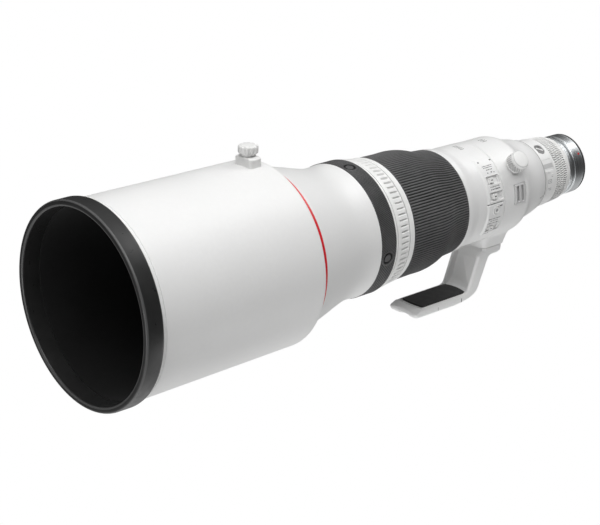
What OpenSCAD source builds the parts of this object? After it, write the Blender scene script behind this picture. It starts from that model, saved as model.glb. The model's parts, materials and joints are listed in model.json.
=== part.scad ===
// Super-telephoto camera lens with its mounted hood and tripod foot.
// Frame: +Z up, optical axis along Y, the front of the lens faces -Y.
// Origin: centre of the camera mount's flange plane, on the optical axis.
// Angles around the barrel run from +Z (0) towards +X (90).

/* [Lens body] */
// Length of the lens without its hood, flange to front rim
lens_len = 472; // [466:0.5:476]
// Outer radius of the front barrel where the hood slides on
front_r = 84; // [83.8:0.1:84.1]
// Wall thickness of the front barrel
front_wall = 2.5; // [1.5:0.1:3]
// Outer radius of the knurled band that carries the function buttons
band_r = 66.9; // [66.4:0.1:67.5]
// Radius of each function button
button_r = 5.6; // [5.3:0.1:5.7]
// Inward travel of each function button
button_travel = 0.8; // [0.4:0.1:0.9]
// Height of the raised switch panels above their seat
panel_h = 3.0; // [2.4:0.1:3.4]
// Outer radius of the rear tube next to the collar
rear_r = 36; // [35.6:0.1:36.4]

/* [Hood] */
// Overall length of the lens with the hood mounted
total_len = 627; // [620:0.5:640]
// Outer radius of the rubber rim at the hood mouth
rim_r = 95.5; // [94:0.1:97]
// Axial width of the rubber rim
rim_w = 18.5; // [14:0.1:24]
// Wall thickness of the hood shell
hood_wall = 2.2; // [1.6:0.1:2.6]
// Outer radius of the hood clamp knob
hood_knob_r = 9.4; // [8:0.1:11]
// Number of finger flutes on the hood clamp knob
hood_knob_flutes = 12; // [8:1:16]

/* [Collar and foot] */
// Outer radius of the collar lock knob
lock_knob_r = 10.2; // [9:0.1:11]
// Angle of the collar lock knob around the barrel
lock_phi = 49.5; // [45:0.5:56]
// Half width of the tripod foot
foot_hw = 19; // [17:0.5:22]
// Height of the foot's underside below the optical axis
foot_drop = 112.5; // [109:0.5:116]
// Thickness of the foot plate
plate_t = 10; // [9:0.5:11]
// Radius of the large tripod socket, 3/8 inch thread
socket_l_r = 4.76; // [4.7:0.01:4.8]
// Radius of the small tripod socket, 1/4 inch thread
socket_s_r = 3.175; // [3.1:0.005:3.2]

/* [Mount] */
// Outer radius of the metal mount barrel
mount_r = 31.9; // [31.7:0.1:32.3]
// Outer radius of the bayonet tube
bayonet_r = 24.9; // [24.5:0.1:25.2]
// Radius of the throat inside the bayonet tube
throat_r = 22; // [21.5:0.1:22.5]
// Depth of the bayonet tube behind the flange
bayonet_len = 5; // [4:0.1:6]
// Number of bayonet lugs
lug_n = 3; // [3:1:4]

/* [Drop-in filter] */
// Half width of the drop-in filter holder
filter_hw = 23; // [20:0.5:24]
// Radius of the filter glass
filter_glass_r = 19.5; // [16:0.5:20]

/* [Hidden] */
$fn = 96;
WHITE = "#ececea"; BLACK = "#2a2a2b"; DARK = "#3a3a3c"; METAL = "#9aa0a4"; GLASS = "#7d93a8"; GREY = "#b8b8b8"; RED = "#c8202c"; GOLD = "#d0a848";
eps = 0.01;
front_y = -lens_len;
rim_y = -total_len;
hood_end = -423.5;
hood_base_y = -447.5;
seat_r = 49.6;
panel_r = seat_r + panel_h;
plate_z = -foot_drop + plate_t;
knob_y = -123.5;
hood_knob_y = -438;
mid_y = -158;

// revolve a list of [radius, y] points about the optical axis
module rev(pts) rotate([-90, 0, 0]) rotate_extrude($fn = 128) polygon(pts);
// the same, over the angles p1 to p2
module sector(pts, p1, p2) rotate([-90, 0, 0]) rotate([0, 0, p1 - 90]) rotate_extrude(angle = p2 - p1, $fn = 128) polygon(pts);
// plain ring from y1 to y2
module ring(r1, r2, y1, y2) rev([[r1, y1], [r2, y1], [r2, y2], [r1, y2]]);
// put children at angle phi and station y, with local +Z pointing outwards
module at(phi, y, r = 0) rotate([0, phi, 0]) translate([0, y, r]) children();
// cylinder along the optical axis
module ycyl(r, y1, y2, f = 96) translate([0, y1, 0]) rotate([-90, 0, 0]) cylinder(r = r, h = y2 - y1, $fn = f);

// ---------- front of the barrel ----------
module front_barrel() {
  w = front_wall;
  color(WHITE) difference() {
    rev([[front_r - w - 2, front_y], [front_r - 1.5, front_y], [front_r, front_y + 1.5], [front_r, -424], [82.7, -416.4], [81.7, -416.4], [81.7, -413.6], [82.0, -413.6],
      [77.9, -399], [73.9, -384], [69.7, -369], [66.9, -357], [65.7, -348], [65.5, -342], [66.4, -330.4],
      [63, -330.4], [63, -345], [63.8, -352], [67.1, -369], [71.3, -384], [75.3, -399], [79.3, -414], [front_r - w, -426], [front_r - w, front_y + 8], [front_r - w - 2, front_y + 8]]);
  }
}
module red_ring() color(RED) ring(81.75, 82.75, -416.3, -413.7);
module front_retainer() color(BLACK) rev([[74.5, -463.9], [81.4, -463.9], [81.4, -456.1], [79.6, -456.1], [79.6, -459.5], [76.5, -459.5], [75.5, -463]]);
module front_element() color(GLASS) lens(79.4, -459.4, -446, 400, 1500);
module front_cell() color(DARK) difference() {
  rev([[77, -445.7], [81.4, -445.7], [81.4, -428], [79.2, -414.2], [75.1, -399.2], [71.1, -384.2], [66.9, -369.2], [64.4, -358], [60, -358], [62.4, -369], [66, -384], [70, -399], [74, -414], [77, -428]]);
}
// face of a lens element as [radius, y] points: vertex at y, radius of curvature rc, bulging towards -Y for s = 1 and +Y for s = -1
function face(r, y, rc, s) = [for (i = [0:14]) [r * i / 14, y + s * (rc - sqrt(rc * rc - pow(r * i / 14, 2)))]];
// lens element of radius r between two bulging faces
module lens(r, y1, y2, ra, rb) {
  back = face(r, y2, rb, -1);
  rev(concat(face(r, y1, ra, 1), [for (i = [14:-1:0]) back[i]]));
}
// second and third elements of the front group
module inner_elements() color(GLASS) { lens(73.9, -430, -416, 400, 900); lens(62.3, -381, -370, 380, 700); }

// ---------- fixed inner tube and rear casings ----------
module main_tube() color(DARK) difference() {
  rev([[63, -356], [63, -311.3], [60.5, -311.3], [60.5, -287.2], [58, -287.2], [58, -240], [51, -240], [51, -199], [47.5, -199], [47.5, -144.9],
    [45.6, -144.9], [45.6, -100], [36.5, -100], [36.5, -70], [34.4, -70], [34.4, -96], [43, -103], [43, -144], [45, -147], [45, -197],
    [48.5, -201], [48.5, -238], [55, -243], [55, -281.9], [39, -281.9], [39, -284], [55, -284], [57.5, -290], [57.5, -312], [60, -318], [60, -356]]);
}
module button_band() color(BLACK) difference() {
  rev([[63, -330.2], [66.5, -330.2], [band_r, -329.6], [band_r, -312], [66.5, -311.4], [63, -311.4]]);
  for (i = [0:3]) at(9 + 90 * i, -321.6, 60) cylinder(r = button_r + 0.35, h = 12, $fn = 64);
}
module fn_button(i) color(BLACK) at(9 + 90 * i, -321.6, 64) {
  difference() {
    cylinder(r = button_r, h = band_r - 64, $fn = 64);
    translate([0, 0, 1.2]) difference() { cylinder(r = 9, h = 5, $fn = 64); translate([0, 0, -1]) cylinder(r = button_r - 1.7, h = 7, $fn = 64); }
  }
}
module function_button_a() fn_button(0);
module function_button_b() fn_button(1);
module function_button_c() fn_button(2);
module function_button_d() fn_button(3);

module panel_cut() sector([[seat_r, -171.6], [60, -171.6], [60, -147.6], [seat_r, -147.6]], 31, 126);
module switch_housing() color(WHITE) difference() {
  rev([[47.5, -198.9], [53.9, -198.9], [53.6, -194], [52.4, -188], [51.5, -182], [51.4, -166], [51.1, -145.9], [50.6, -145.2], [47.5, -145.2]]);
  panel_cut();
}
module panel_body(p1, p2) sector([[seat_r, -171.5], [panel_r - 1.4, -171.5], [panel_r, -168.6], [panel_r, -148.3], [panel_r - 0.6, -147.7], [seat_r, -147.7]], p1, p2);
// slot for a slide switch, centred at angle phi
module switch_slot(phi) at(phi, mid_y + 0.5, seat_r - 1) translate([-3.1, -6.8, 0]) cube([6.2, 13.6, 8]);
module switch_panel_upper() color(WHITE) difference() {
  panel_body(31.1, 85.3);
  switch_slot(59.3); switch_slot(77.3);
}
module switch_panel_lower() color(WHITE) difference() {
  panel_body(85.5, 125.9);
  at(93.5, mid_y, seat_r - 1) cylinder(r = 3.9, h = 8, $fn = 64);
  switch_slot(116);
}
module slide_switch(phi) color(GREY) at(phi, mid_y + 0.5, seat_r + 0.2) {
  translate([-2.8, -6.4, 0]) cube([5.6, 7.8, 1.4]);
  translate([-2.4, -5.2, 1.4 - eps]) cube([4.8, 5.2, 2.1]);
}
module range_switch() slide_switch(59.3);
module mode_switch() slide_switch(77.3);
module preset_switch() slide_switch(116);
module preset_button() color(WHITE) at(93.5, mid_y, seat_r + 1.1) difference() {
  cylinder(r = 3.6, h = 2.5, $fn = 64);
  translate([0, 0, 2.1]) cylinder(r = 2.4, h = 1, $fn = 64);
}

module filter_gap() translate([0, -66.3, -filter_hw - 0.3]) cube([60, 13.6, 2 * filter_hw + 0.6]);
module rear_barrel() color(WHITE) difference() {
  rev([[33, -75], [34.3, -75], [34.3, -67.6], [rear_r, -67.6], [rear_r, -66.8], [rear_r - 0.1, -50.7], [31.6, -50.7], [31.6, -24.3], [30.2, -24.3], [30.2, -51.4], [33, -51.6]]);
  filter_gap();
  at(28.5, -58, rear_r - 1.9) linear_extrude(5) polygon([[-6.6, -2.4], [-3.1, -5], [4.3, -5], [6.6, -1.2], [6.6, 1.9], [3.1, 5], [-4.3, 5], [-6.6, 1.7]]);
}

// ---------- camera mount ----------
module mount_base() color(METAL) difference() {
  rev([[27.2, -24.2], [32.2, -24.2], [32.5, -23.8], [31.8, -18.6], [31.2, -15.6], [31.4, -15.1], [mount_r, -14.6], [mount_r - 0.1, -1.8], [30.9, -1.8], [30.9, 0], [27.2, 0], [27.2, -3.2], [25.4, -3.2], [25.4, -9], [27.2, -11]]);
  for (i = [0:3]) at(45 + 90 * i, 0, 29) rotate([90, 0, 0]) translate([0, 0, -1]) cylinder(r = 1.45, h = 2.2, $fn = 32);
  at(55, -5.8, mount_r - 0.5) cylinder(r = 1.12, h = 2, $fn = 32);
}
module mount_seal() color(BLACK) ring(30.95, 31.75, -1.75, 0.4);
module mount_screws() color(METAL) for (i = [0:3]) at(45 + 90 * i, 0, 29) rotate([90, 0, 0]) difference() {
  translate([0, 0, 0.1]) cylinder(r = 1.4, h = 1.05, $fn = 32);
  translate([-0.25, -1.1, -0.4]) cube([0.5, 2.2, 1]);
  translate([-1.1, -0.25, -0.4]) cube([2.2, 0.5, 1]);
}
module bayonet_ring() color("#c9ccce") union() {
  rev([[throat_r, -9], [25.35, -9], [25.35, -3.15], [27.15, -3.15], [27.15, -0.3], [bayonet_r, -0.3], [bayonet_r, bayonet_len - 0.4], [bayonet_r - 0.4, bayonet_len], [throat_r, bayonet_len]]);
  for (i = [0:lug_n - 1]) sector([[bayonet_r - 0.5, 2.4], [26.7, 2.4], [26.7, 4.2], [26.3, 4.6], [bayonet_r - 0.5, 4.6]], 20 + i * 360 / lug_n, 62 + i * 360 / lug_n);
}
module contact_block() color(BLACK) sector([[20.1, -8], [21.95, -8], [21.95, 4.4], [20.6, 4.4], [20.1, 3.8]], 146, 214);
module contact_pins() color(GOLD) for (i = [0:11]) at(152.5 + 5 * i, 4.4, 21.2) rotate([-90, 0, 0]) translate([0, 0, 0.02]) cylinder(r = 0.55, h = 0.5, $fn = 24);
module index_dot() color(RED) at(55, -5.8, mount_r - 0.45) cylinder(r = 1.1, h = 0.55, $fn = 32);
module light_baffle() color(BLACK) difference() {
  ycyl(27.15, -20, -18.6, 96);
  translate([-17, -25, -13]) cube([34, 12, 26]);
}

// ---------- optical and electrical pieces inside ----------
module guide_rods() color(METAL) for (a = [0, 120, 240]) at(a, -282, 42) rotate([-90, 0, 0]) translate([0, 0, 0.1]) cylinder(r = 2, h = 44, $fn = 32);
module focus_cell() color(DARK) difference() {
  rev([[33.05, -272], [46.4, -272], [46.4, -262], [38, -262], [36, -258], [33.05, -258]]);
  for (a = [0, 120, 240]) at(a, -280, 42) rotate([-90, 0, 0]) cylinder(r = 2.05, h = 30, $fn = 48);
}
module focus_lens() color(GLASS) lens(33, -270, -260, 160, 220);
module motor_stator() color("#8a5a34") difference() {
  union() { ring(37, 48.4, -237.9, -235.2); ring(41, 48.4, -235.2, -226); }
}
module motor_rotor() color(METAL) union() { ring(38, 47.9, -225.6, -217); ring(34, 38.01, -232, -217); }
// iris box: a closed ring with nine thin leaves parked wide open inside its window
module iris_unit() color(BLACK) difference() {
  ring(32, 44.9, -192, -184);
  ring(33.5, 43, -189.5, -186.5);
}
// ring that drives the leaves, with its motor tab
module iris_ring() color(METAL) union() { ring(33.4, 44.4, -183.6, -181.6); at(0, -183.6, 41) translate([-3, 0, 0]) cube([6, 2, 3.3]); }
module stabiliser_frame() color("#4c5a52") difference() {
  ring(30, 44.9, -176, -166);
  translate([-32, -172.4, -36]) cube([64, 12, 72]);
  ycyl(34, -180, -160);
}
module stabiliser_yoke() color(GREY) difference() {
  translate([-30.5, -172, -30]) cube([61, 2.6, 60]);
  ycyl(25.4, -174, -160);
}
module stabiliser_lens() color(GLASS) union() {
  difference() { ycyl(27, -168.9, -164.4); ycyl(22.5, -170, -160); }
  lens(22.6, -168.9, -164, 150, 180);
}
module main_board() color("#1f5c38") difference() {
  union() {
    ring(31, 44.8, -158, -156.6);
    for (a = [20:40:340]) at(a, -156.6 - eps, 36) translate([-3.5, 0, 0]) cube([7, 1.6, 6]);
  }
  for (a = [0, 120, 240]) at(a, -160, 42.5) rotate([-90, 0, 0]) cylinder(r = 1.2, h = 8, $fn = 24);
}
module rear_element() color(GLASS) lens(34.3, -95, -82, 150, 220);

// ---------- rings turned by hand ----------
module focus_sleeve() color(METAL) rev([[58.3, -286.7], [60.8, -286.7], [60.8, -242], [58.4, -232], [54.2, -218], [52.7, -206], [52.4, -199.3], [51.3, -199.3], [51.3, -239.7], [58.3, -239.7]]);
module focus_grip() color(BLACK) rev([[60.85, -282.8], [62.1, -282.8], [62.4, -282], [62.2, -272], [61.9, -256], [62.2, -246], [61.6, -239], [60.0, -231], [57.8, -224], [56.1, -218.5], [54.9, -211], [54.4, -205], [54.1, -200], [53.7, -199.4], [52.45, -199.4],
  [52.75, -206], [54.25, -218], [58.45, -232], [60.85, -242]]);
module playback_ring() color(WHITE) difference() {
  rev([[60.8, -311], [65.8, -311], [66.1, -310.4], [66.0, -308.4], [65.3, -307.9], [65.3, -307.3], [65.6, -306.8], [65.4, -303.1], [63.6, -290.8], [63.1, -289.6], [63.1, -289], [63.4, -288.5], [63.1, -283.9], [62.5, -283.4], [60.95, -283.4], [60.95, -286.9], [60.8, -287.1]]);
}
module control_ring() color(WHITE) rev([[31.9, -50.4], [35.3, -50.4], [35.6, -49.9], [35.0, -40], [34.3, -31], [33.4, -26.4], [33.0, -25], [32.6, -24.5], [31.9, -24.5]]);

// ---------- drop-in filter holder ----------
module filter_holder() color(WHITE) difference() {
  union() {
    intersection() {
      translate([0, -66, 0]) rotate([-90, 0, 0]) cylinder(r = rear_r - 0.02, h = 13, $fn = 128);
      translate([20, -66, -filter_hw]) cube([40, 13, 2 * filter_hw]);
    }
    sector([[rear_r - 0.5, -65.8], [rear_r + 1.1, -65.4], [rear_r + 1.1, -53.6], [rear_r - 0.5, -53.2]], 69, 111);
    translate([0, -64, -filter_hw]) cube([24, 9, 2 * filter_hw]);
    ycyl(filter_hw, -64, -55);
  }
  ycyl(filter_glass_r + 0.05, -70, -50);
}
module filter_glass() color(GLASS) ycyl(filter_glass_r, -61, -58.5);

// ---------- tripod collar ----------
module strap_lug_at(phi) at(phi, -122, 48.1) difference() {
  union() {
    translate([-7.8, -7.6, 0]) cube([15.6, 15.2, 4.1]);
    translate([-7.8, 0, 0]) intersection() { cylinder(r = 7.6, h = 4.1, $fn = 48); translate([-2.2, -8, 0]) cube([3.2, 16, 9]); }
    translate([7.8, 0, 0]) intersection() { cylinder(r = 7.6, h = 4.1, $fn = 48); translate([-1, -8, 0]) cube([3.2, 16, 9]); }
  }
  for (y = [-3.6, 3.1]) translate([-8.2, y - 1.9, 1.2]) cube([16.4, 3.8, 9]);
  translate([-8.2, -4, 1.2]) cube([16.4, 8, 1.2]);
}
module strap_lugs() color("#c4c6c7") { strap_lug_at(83); strap_lug_at(263); }
module collar_outer() rev([[45.9, -144.7], [50.7, -144.7], [51.1, -144.2], [50.6, -128], [50.7, -112], [49.6, -107], [47.5, -103], [44.6, -95.5], [42.7, -87.5], [41.1, -79], [38.3, -70], [37.6, -68],
  [36.8, -68], [36.8, -99.7], [45.9, -99.7]]);
module collar_ring() color(WHITE) difference() {
  union() {
    collar_outer();
    difference() {
      hull() {
        translate([-foot_hw, -137, -59.4]) cube([2 * foot_hw, 24.5, 1]);
        translate([-25, -144.4, -44]) cube([50, 42, 1]);
      }
      ycyl(45.9, -150, -90, 128);
    }
    at(lock_phi, knob_y, 46) cylinder(r = 8.2, h = 5.4, $fn = 64);
  }
  ycyl(45.9, -150, -99.7, 128);
  at(lock_phi, knob_y, 40) cylinder(r = 5.3, h = 8.9, $fn = 48);
  at(lock_phi, knob_y, 40) cylinder(r = 3.05, h = 20, $fn = 48);
  for (p = [83, 263]) at(p, -122, 48) translate([-10.2, -7.75, 0]) cube([20.4, 15.5, 9]);
  for (x = [-12, 12]) translate([x, -119, -60]) cylinder(r = 1.7, h = 9, $fn = 32);
}
module brake_shoe() color(BLACK) at(lock_phi, knob_y, 45.7) cylinder(r = 5, h = 2.1, $fn = 48);
module collar_knob() color(WHITE) at(lock_phi, knob_y, 0) difference() {
  union() {
    translate([0, 0, 48.75]) cylinder(r = 3, h = 5, $fn = 48);
    translate([0, 0, 51.8]) cylinder(r = 7.2, h = 1.6, $fn = 64);
    translate([0, 0, 53]) rotate_extrude($fn = 96) polygon([[0, 0], [lock_knob_r - 0.7, 0], [lock_knob_r, 0.7], [lock_knob_r, 11.9], [lock_knob_r - 1.2, 12.9], [lock_knob_r - 2.6, 13.4], [5, 14.7], [0, 15.3]]);
  }
  for (a = [0:10:350]) rotate([0, 0, a]) translate([lock_knob_r + 0.35, 0, 54]) cylinder(r = 0.65, h = 10.6, $fn = 16);
}

// ---------- tripod foot ----------
module foot_profile() polygon([[-142.5, -59.6], [-112.6, -59.6], [-112.8, -66.4], [-114.8, -68.2], [-127, -68.8], [-129.4, -70.6],
  [-142.6, -100.4], [-145.4, -104.6], [-149.5, -107.4], [-155, -109.4], [-161, -110.8], [-169, -111.9], [-177, -foot_drop], [-230.5, -foot_drop], [-233.6, -111.2], [-235, -108.4], [-234.4, -105.2], [-229.5, plate_z - 1.2], [-222, plate_z],
  [-163, plate_z], [-159.4, plate_z + 1.6], [-157.6, plate_z + 4.6], [-147.4, -72]]);
module tripod_foot() color(WHITE) difference() {
  rotate([90, 0, 90]) translate([0, 0, -foot_hw]) linear_extrude(2 * foot_hw) foot_profile();
  // recess in the front face of the neck, between two side flanges
  rotate([90, 0, 90]) translate([0, 0, -foot_hw + 4]) linear_extrude(2 * foot_hw - 8) polygon([[-143.6, -61.5], [-139.5, -64], [-141, -72], [-151.5, -96], [-156.5, plate_z + 4.6], [-160, plate_z + 4.6], [-148.4, -70]]);
  // corners of the front end and the finger scoop under it
  for (s = [-1, 1]) translate([s * foot_hw, -235, -120]) difference() {
    translate([-4, -1, 0]) cube([8, 5, 30]);
    translate([-s * 4, 4, -1]) cylinder(r = 4, h = 40, $fn = 48);
  }
  translate([0, -232, -foot_drop - 9.5]) rotate([-90, 0, 0]) translate([0, 0, -6]) cylinder(r = 11.5, h = 14, $fn = 64);
  // pocket of the rubber pad and seats of the threaded bushes
  translate([-15.6, -221, plate_z - 1]) cube([31.2, 62.2, 2.5]);
  translate([0, -185, -foot_drop - 1]) cylinder(r = 7, h = 6.6, $fn = 64);
  translate([0, -207, -foot_drop - 1]) cylinder(r = 5.4, h = 6.6, $fn = 64);
  for (x = [-12, 12]) {
    translate([x, -119, -70]) cylinder(r = 1.75, h = 14, $fn = 32);
    translate([x, -119, -70]) cylinder(r = 3.3, h = 5.5, $fn = 32);
  }
}
module foot_pad() color(BLACK) difference() {
  translate([-15.5, -220.9, plate_z - 0.95]) cube([31, 62, 1.75]);
}
module tripod_bushes() color(METAL) {
  translate([0, -185, -foot_drop]) difference() { cylinder(r = 6.95, h = 5.55, $fn = 64); translate([0, 0, -1]) cylinder(r = socket_l_r, h = 8, $fn = 64); }
  translate([0, -207, -foot_drop]) difference() { cylinder(r = 5.35, h = 5.55, $fn = 64); translate([0, 0, -1]) cylinder(r = socket_s_r, h = 8, $fn = 64); }
}
module foot_screws() color(METAL) for (x = [-12, 12]) translate([x, -119, -67.9]) difference() {
  union() { cylinder(r = 3.2, h = 3.3, $fn = 32); cylinder(r = 1.65, h = 15, $fn = 32); }
  translate([0, 0, -1]) cylinder(r = 1.5, h = 3, $fn = 6);
}

// ---------- hood ----------
module hood_shell() color(WHITE) difference() {
  rev([[92.6 - hood_wall, rim_y + rim_w + 0.1], [92.9, rim_y + rim_w + 0.1], [92.9, rim_y + rim_w + 2.6], [92.4, rim_y + rim_w + 3.1], [90.2, -429], [89.9, -425.4], [89.2, -424.1], [88.2, hood_end], [86.2, hood_end], [87.2, -425], [87.9, -429]]);
  translate([0, hood_knob_y, 80]) cylinder(r = 3.05, h = 20, $fn = 48);
}
module hood_rim() color(BLACK) rev([[89.2, rim_y + 1.4], [90.0, rim_y + 0.4], [91.2, rim_y], [93.6, rim_y], [94.8, rim_y + 0.6], [rim_r, rim_y + 1.9], [rim_r, rim_y + rim_w - 2],
  [95.1, rim_y + rim_w - 0.5], [94.4, rim_y + rim_w], [90.0, rim_y + rim_w], [89.2, rim_y + rim_w]]);
module hood_lining() color(BLACK) rev([[88.5, rim_y + rim_w + 0.1], [90.3, rim_y + rim_w + 0.1], [88.1, hood_base_y - 0.1], [87.2, hood_base_y - 0.1], [86.9, -470]]);
module hood_base_ring() color(BLACK) difference() {
  rev([[84.3, hood_base_y], [88.05, hood_base_y], [87.85, -429.2], [87.1, -425.2], [86.1, hood_end + 0.1], [84.3, hood_end + 0.1]]);
  translate([0, hood_knob_y, 80]) cylinder(r = 3.05, h = 20, $fn = 48);
}
// saddle block under the clamp knob
module hood_clamp_block() color(WHITE) difference() {
  hull() {
    for (x = [-8.6, 8.6]) for (y = [-5.2, 5.2]) translate([x, hood_knob_y + y, 86.5]) cylinder(r = 2.2, h = 10, $fn = 32);
    for (x = [-5.5, 5.5]) for (y = [-5, 5]) translate([x, hood_knob_y + y, 86.5]) cylinder(r = 2, h = 11.6, $fn = 32);
  }
  rev([[0, -460], [90.64, -460], [90.24, -428], [90.24, -415], [0, -415]]);
  translate([0, hood_knob_y, 80]) cylinder(r = 3.05, h = 20, $fn = 48);
}
module hood_knob() color(WHITE) translate([0, hood_knob_y, 0]) difference() {
  union() {
    translate([0, 0, 84.8]) cylinder(r = 3, h = 16, $fn = 48);
    translate([0, 0, 98.5]) cylinder(r = 7.4, h = 2.2, $fn = 64);
    translate([0, 0, 100.4]) rotate_extrude($fn = 96) polygon([[0, 0], [hood_knob_r - 1, 0], [hood_knob_r, 0.9], [hood_knob_r, 7.6], [hood_knob_r - 0.5, 8.3], [hood_knob_r - 1.6, 8.7], [5, 9.0], [0, 9.1]]);
  }
  for (i = [0:hood_knob_flutes - 1]) rotate([0, 0, i * 360 / hood_knob_flutes]) translate([hood_knob_r + 1.5, 0, 99.5]) cylinder(r = 2.3, h = 12, $fn = 32);
}

front_barrel();
red_ring();
front_retainer();
front_element();
front_cell();
inner_elements();
main_tube();
button_band();
switch_housing();
switch_panel_upper();
switch_panel_lower();
rear_barrel();
mount_base();
bayonet_ring();
mount_seal();
mount_screws();
contact_block();
contact_pins();
index_dot();
light_baffle();
iris_unit();
iris_ring();
motor_stator();
motor_rotor();
guide_rods();
focus_cell();
focus_lens();
stabiliser_frame();
stabiliser_yoke();
stabiliser_lens();
main_board();
rear_element();
focus_sleeve();
focus_grip();
playback_ring();
control_ring();
function_button_a();
function_button_b();
function_button_c();
function_button_d();
range_switch();
mode_switch();
preset_switch();
preset_button();
filter_holder();
filter_glass();
collar_ring();
strap_lugs();
collar_knob();
brake_shoe();
tripod_foot();
tripod_bushes();
foot_screws();
foot_pad();
hood_shell();
hood_rim();
hood_lining();
hood_base_ring();
hood_clamp_block();
hood_knob();
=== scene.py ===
import json
import math

import bpy
import numpy as np
from mathutils import Matrix, Vector

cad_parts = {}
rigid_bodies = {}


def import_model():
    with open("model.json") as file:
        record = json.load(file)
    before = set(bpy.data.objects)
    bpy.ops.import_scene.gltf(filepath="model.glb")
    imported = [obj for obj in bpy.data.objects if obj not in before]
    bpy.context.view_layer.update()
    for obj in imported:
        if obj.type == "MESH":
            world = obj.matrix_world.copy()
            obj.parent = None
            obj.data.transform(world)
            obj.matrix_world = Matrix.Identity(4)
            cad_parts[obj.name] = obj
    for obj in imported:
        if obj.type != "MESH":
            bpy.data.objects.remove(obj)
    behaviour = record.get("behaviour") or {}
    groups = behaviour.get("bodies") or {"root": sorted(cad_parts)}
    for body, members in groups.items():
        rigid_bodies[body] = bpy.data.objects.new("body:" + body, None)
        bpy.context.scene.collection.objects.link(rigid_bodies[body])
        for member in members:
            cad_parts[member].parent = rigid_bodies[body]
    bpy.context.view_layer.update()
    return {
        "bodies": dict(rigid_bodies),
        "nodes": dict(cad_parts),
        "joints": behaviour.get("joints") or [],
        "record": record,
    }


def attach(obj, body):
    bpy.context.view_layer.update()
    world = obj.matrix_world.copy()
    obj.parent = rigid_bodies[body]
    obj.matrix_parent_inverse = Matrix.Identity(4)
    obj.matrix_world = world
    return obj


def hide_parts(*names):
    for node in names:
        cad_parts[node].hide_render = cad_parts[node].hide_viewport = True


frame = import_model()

NODES = frame["nodes"]
MM = 0.001
TAU = 2 * math.pi

# ------------------------------------------------------------------ camera
AZ, EL, ROLL = math.radians(48.35), math.radians(21.16), math.radians(0.57)
right = Vector((math.cos(AZ), math.sin(AZ), 0))
back = Vector((math.sin(AZ) * math.cos(EL), -math.cos(AZ) * math.cos(EL), math.sin(EL)))
up = back.cross(right)
r2 = math.cos(ROLL) * right + math.sin(ROLL) * up
u2 = -math.sin(ROLL) * right + math.cos(ROLL) * up
cam_data = bpy.data.cameras.new("camera")
cam_data.lens = 112.16
cam_data.sensor_width = 36
cam_data.shift_x = -0.00032
cam_data.shift_y = 0.00177
cam_data.clip_start = 0.05
cam_data.clip_end = 60
cam = bpy.data.objects.new("camera", cam_data)
bpy.context.scene.collection.objects.link(cam)
rot = Matrix((r2, u2, back)).transposed().to_4x4()
cam.matrix_world = Matrix.Translation(Vector((1.2377, -1.4744, 0.6190))) @ rot
bpy.context.scene.camera = cam
bpy.context.scene.view_settings.view_transform = "Standard"
bpy.context.scene.view_settings.look = "None"


# ------------------------------------------------------------------ materials
class Nodes:
    """Short way to add shader nodes to one tree."""

    def __init__(self, tree):
        self.t = tree

    def add(self, kind, **values):
        n = self.t.nodes.new(kind)
        for k, v in values.items():
            if k in n.inputs:
                n.inputs[k].default_value = v
            else:
                setattr(n, k, v)
        return n

    def link(self, a, b):
        self.t.links.new(a, b)

    def coords(self, scale):
        c = self.add("ShaderNodeTexCoord")
        m = self.add("ShaderNodeMapping")
        m.inputs["Scale"].default_value = scale if hasattr(scale, "__len__") else (scale,) * 3
        self.link(c.outputs["Object"], m.inputs["Vector"])
        return m.outputs["Vector"]

    def noise(self, scale, detail=3.0, rough=0.55):
        n = self.add("ShaderNodeTexNoise")
        n.inputs["Scale"].default_value = 1.0
        n.inputs["Detail"].default_value = detail
        n.inputs["Roughness"].default_value = rough
        self.link(self.coords(scale), n.inputs["Vector"])
        return n.outputs["Fac"]

    def span(self, fac, lo, hi, a=0.3, b=0.7):
        m = self.add("ShaderNodeMapRange")
        m.inputs["From Min"].default_value = a
        m.inputs["From Max"].default_value = b
        m.inputs["To Min"].default_value = lo
        m.inputs["To Max"].default_value = hi
        self.link(fac, m.inputs["Value"])
        return m.outputs["Result"]

    def blend(self, fac, a, b):
        m = self.add("ShaderNodeMix", data_type="RGBA")
        if isinstance(fac, float):
            m.inputs[0].default_value = fac
        else:
            self.link(fac, m.inputs[0])
        for i, c in ((6, a), (7, b)):
            if isinstance(c, tuple):
                m.inputs[i].default_value = (*c, 1)
            else:
                self.link(c, m.inputs[i])
        return m.outputs[2]

    def bump(self, height, strength, distance, normal=None):
        b = self.add("ShaderNodeBump")
        b.inputs["Strength"].default_value = strength
        b.inputs["Distance"].default_value = distance
        self.link(height, b.inputs["Height"])
        if normal is not None:
            self.link(normal, b.inputs["Normal"])
        return b.outputs["Normal"]


def material(name):
    m = bpy.data.materials.new(name)
    m.use_nodes = True
    t = m.node_tree
    bsdf = next(n for n in t.nodes if n.type == "BSDF_PRINCIPLED")
    return m, Nodes(t), bsdf


def scaled(c, k):
    return tuple(min(1.0, x * k) for x in c)


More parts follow.
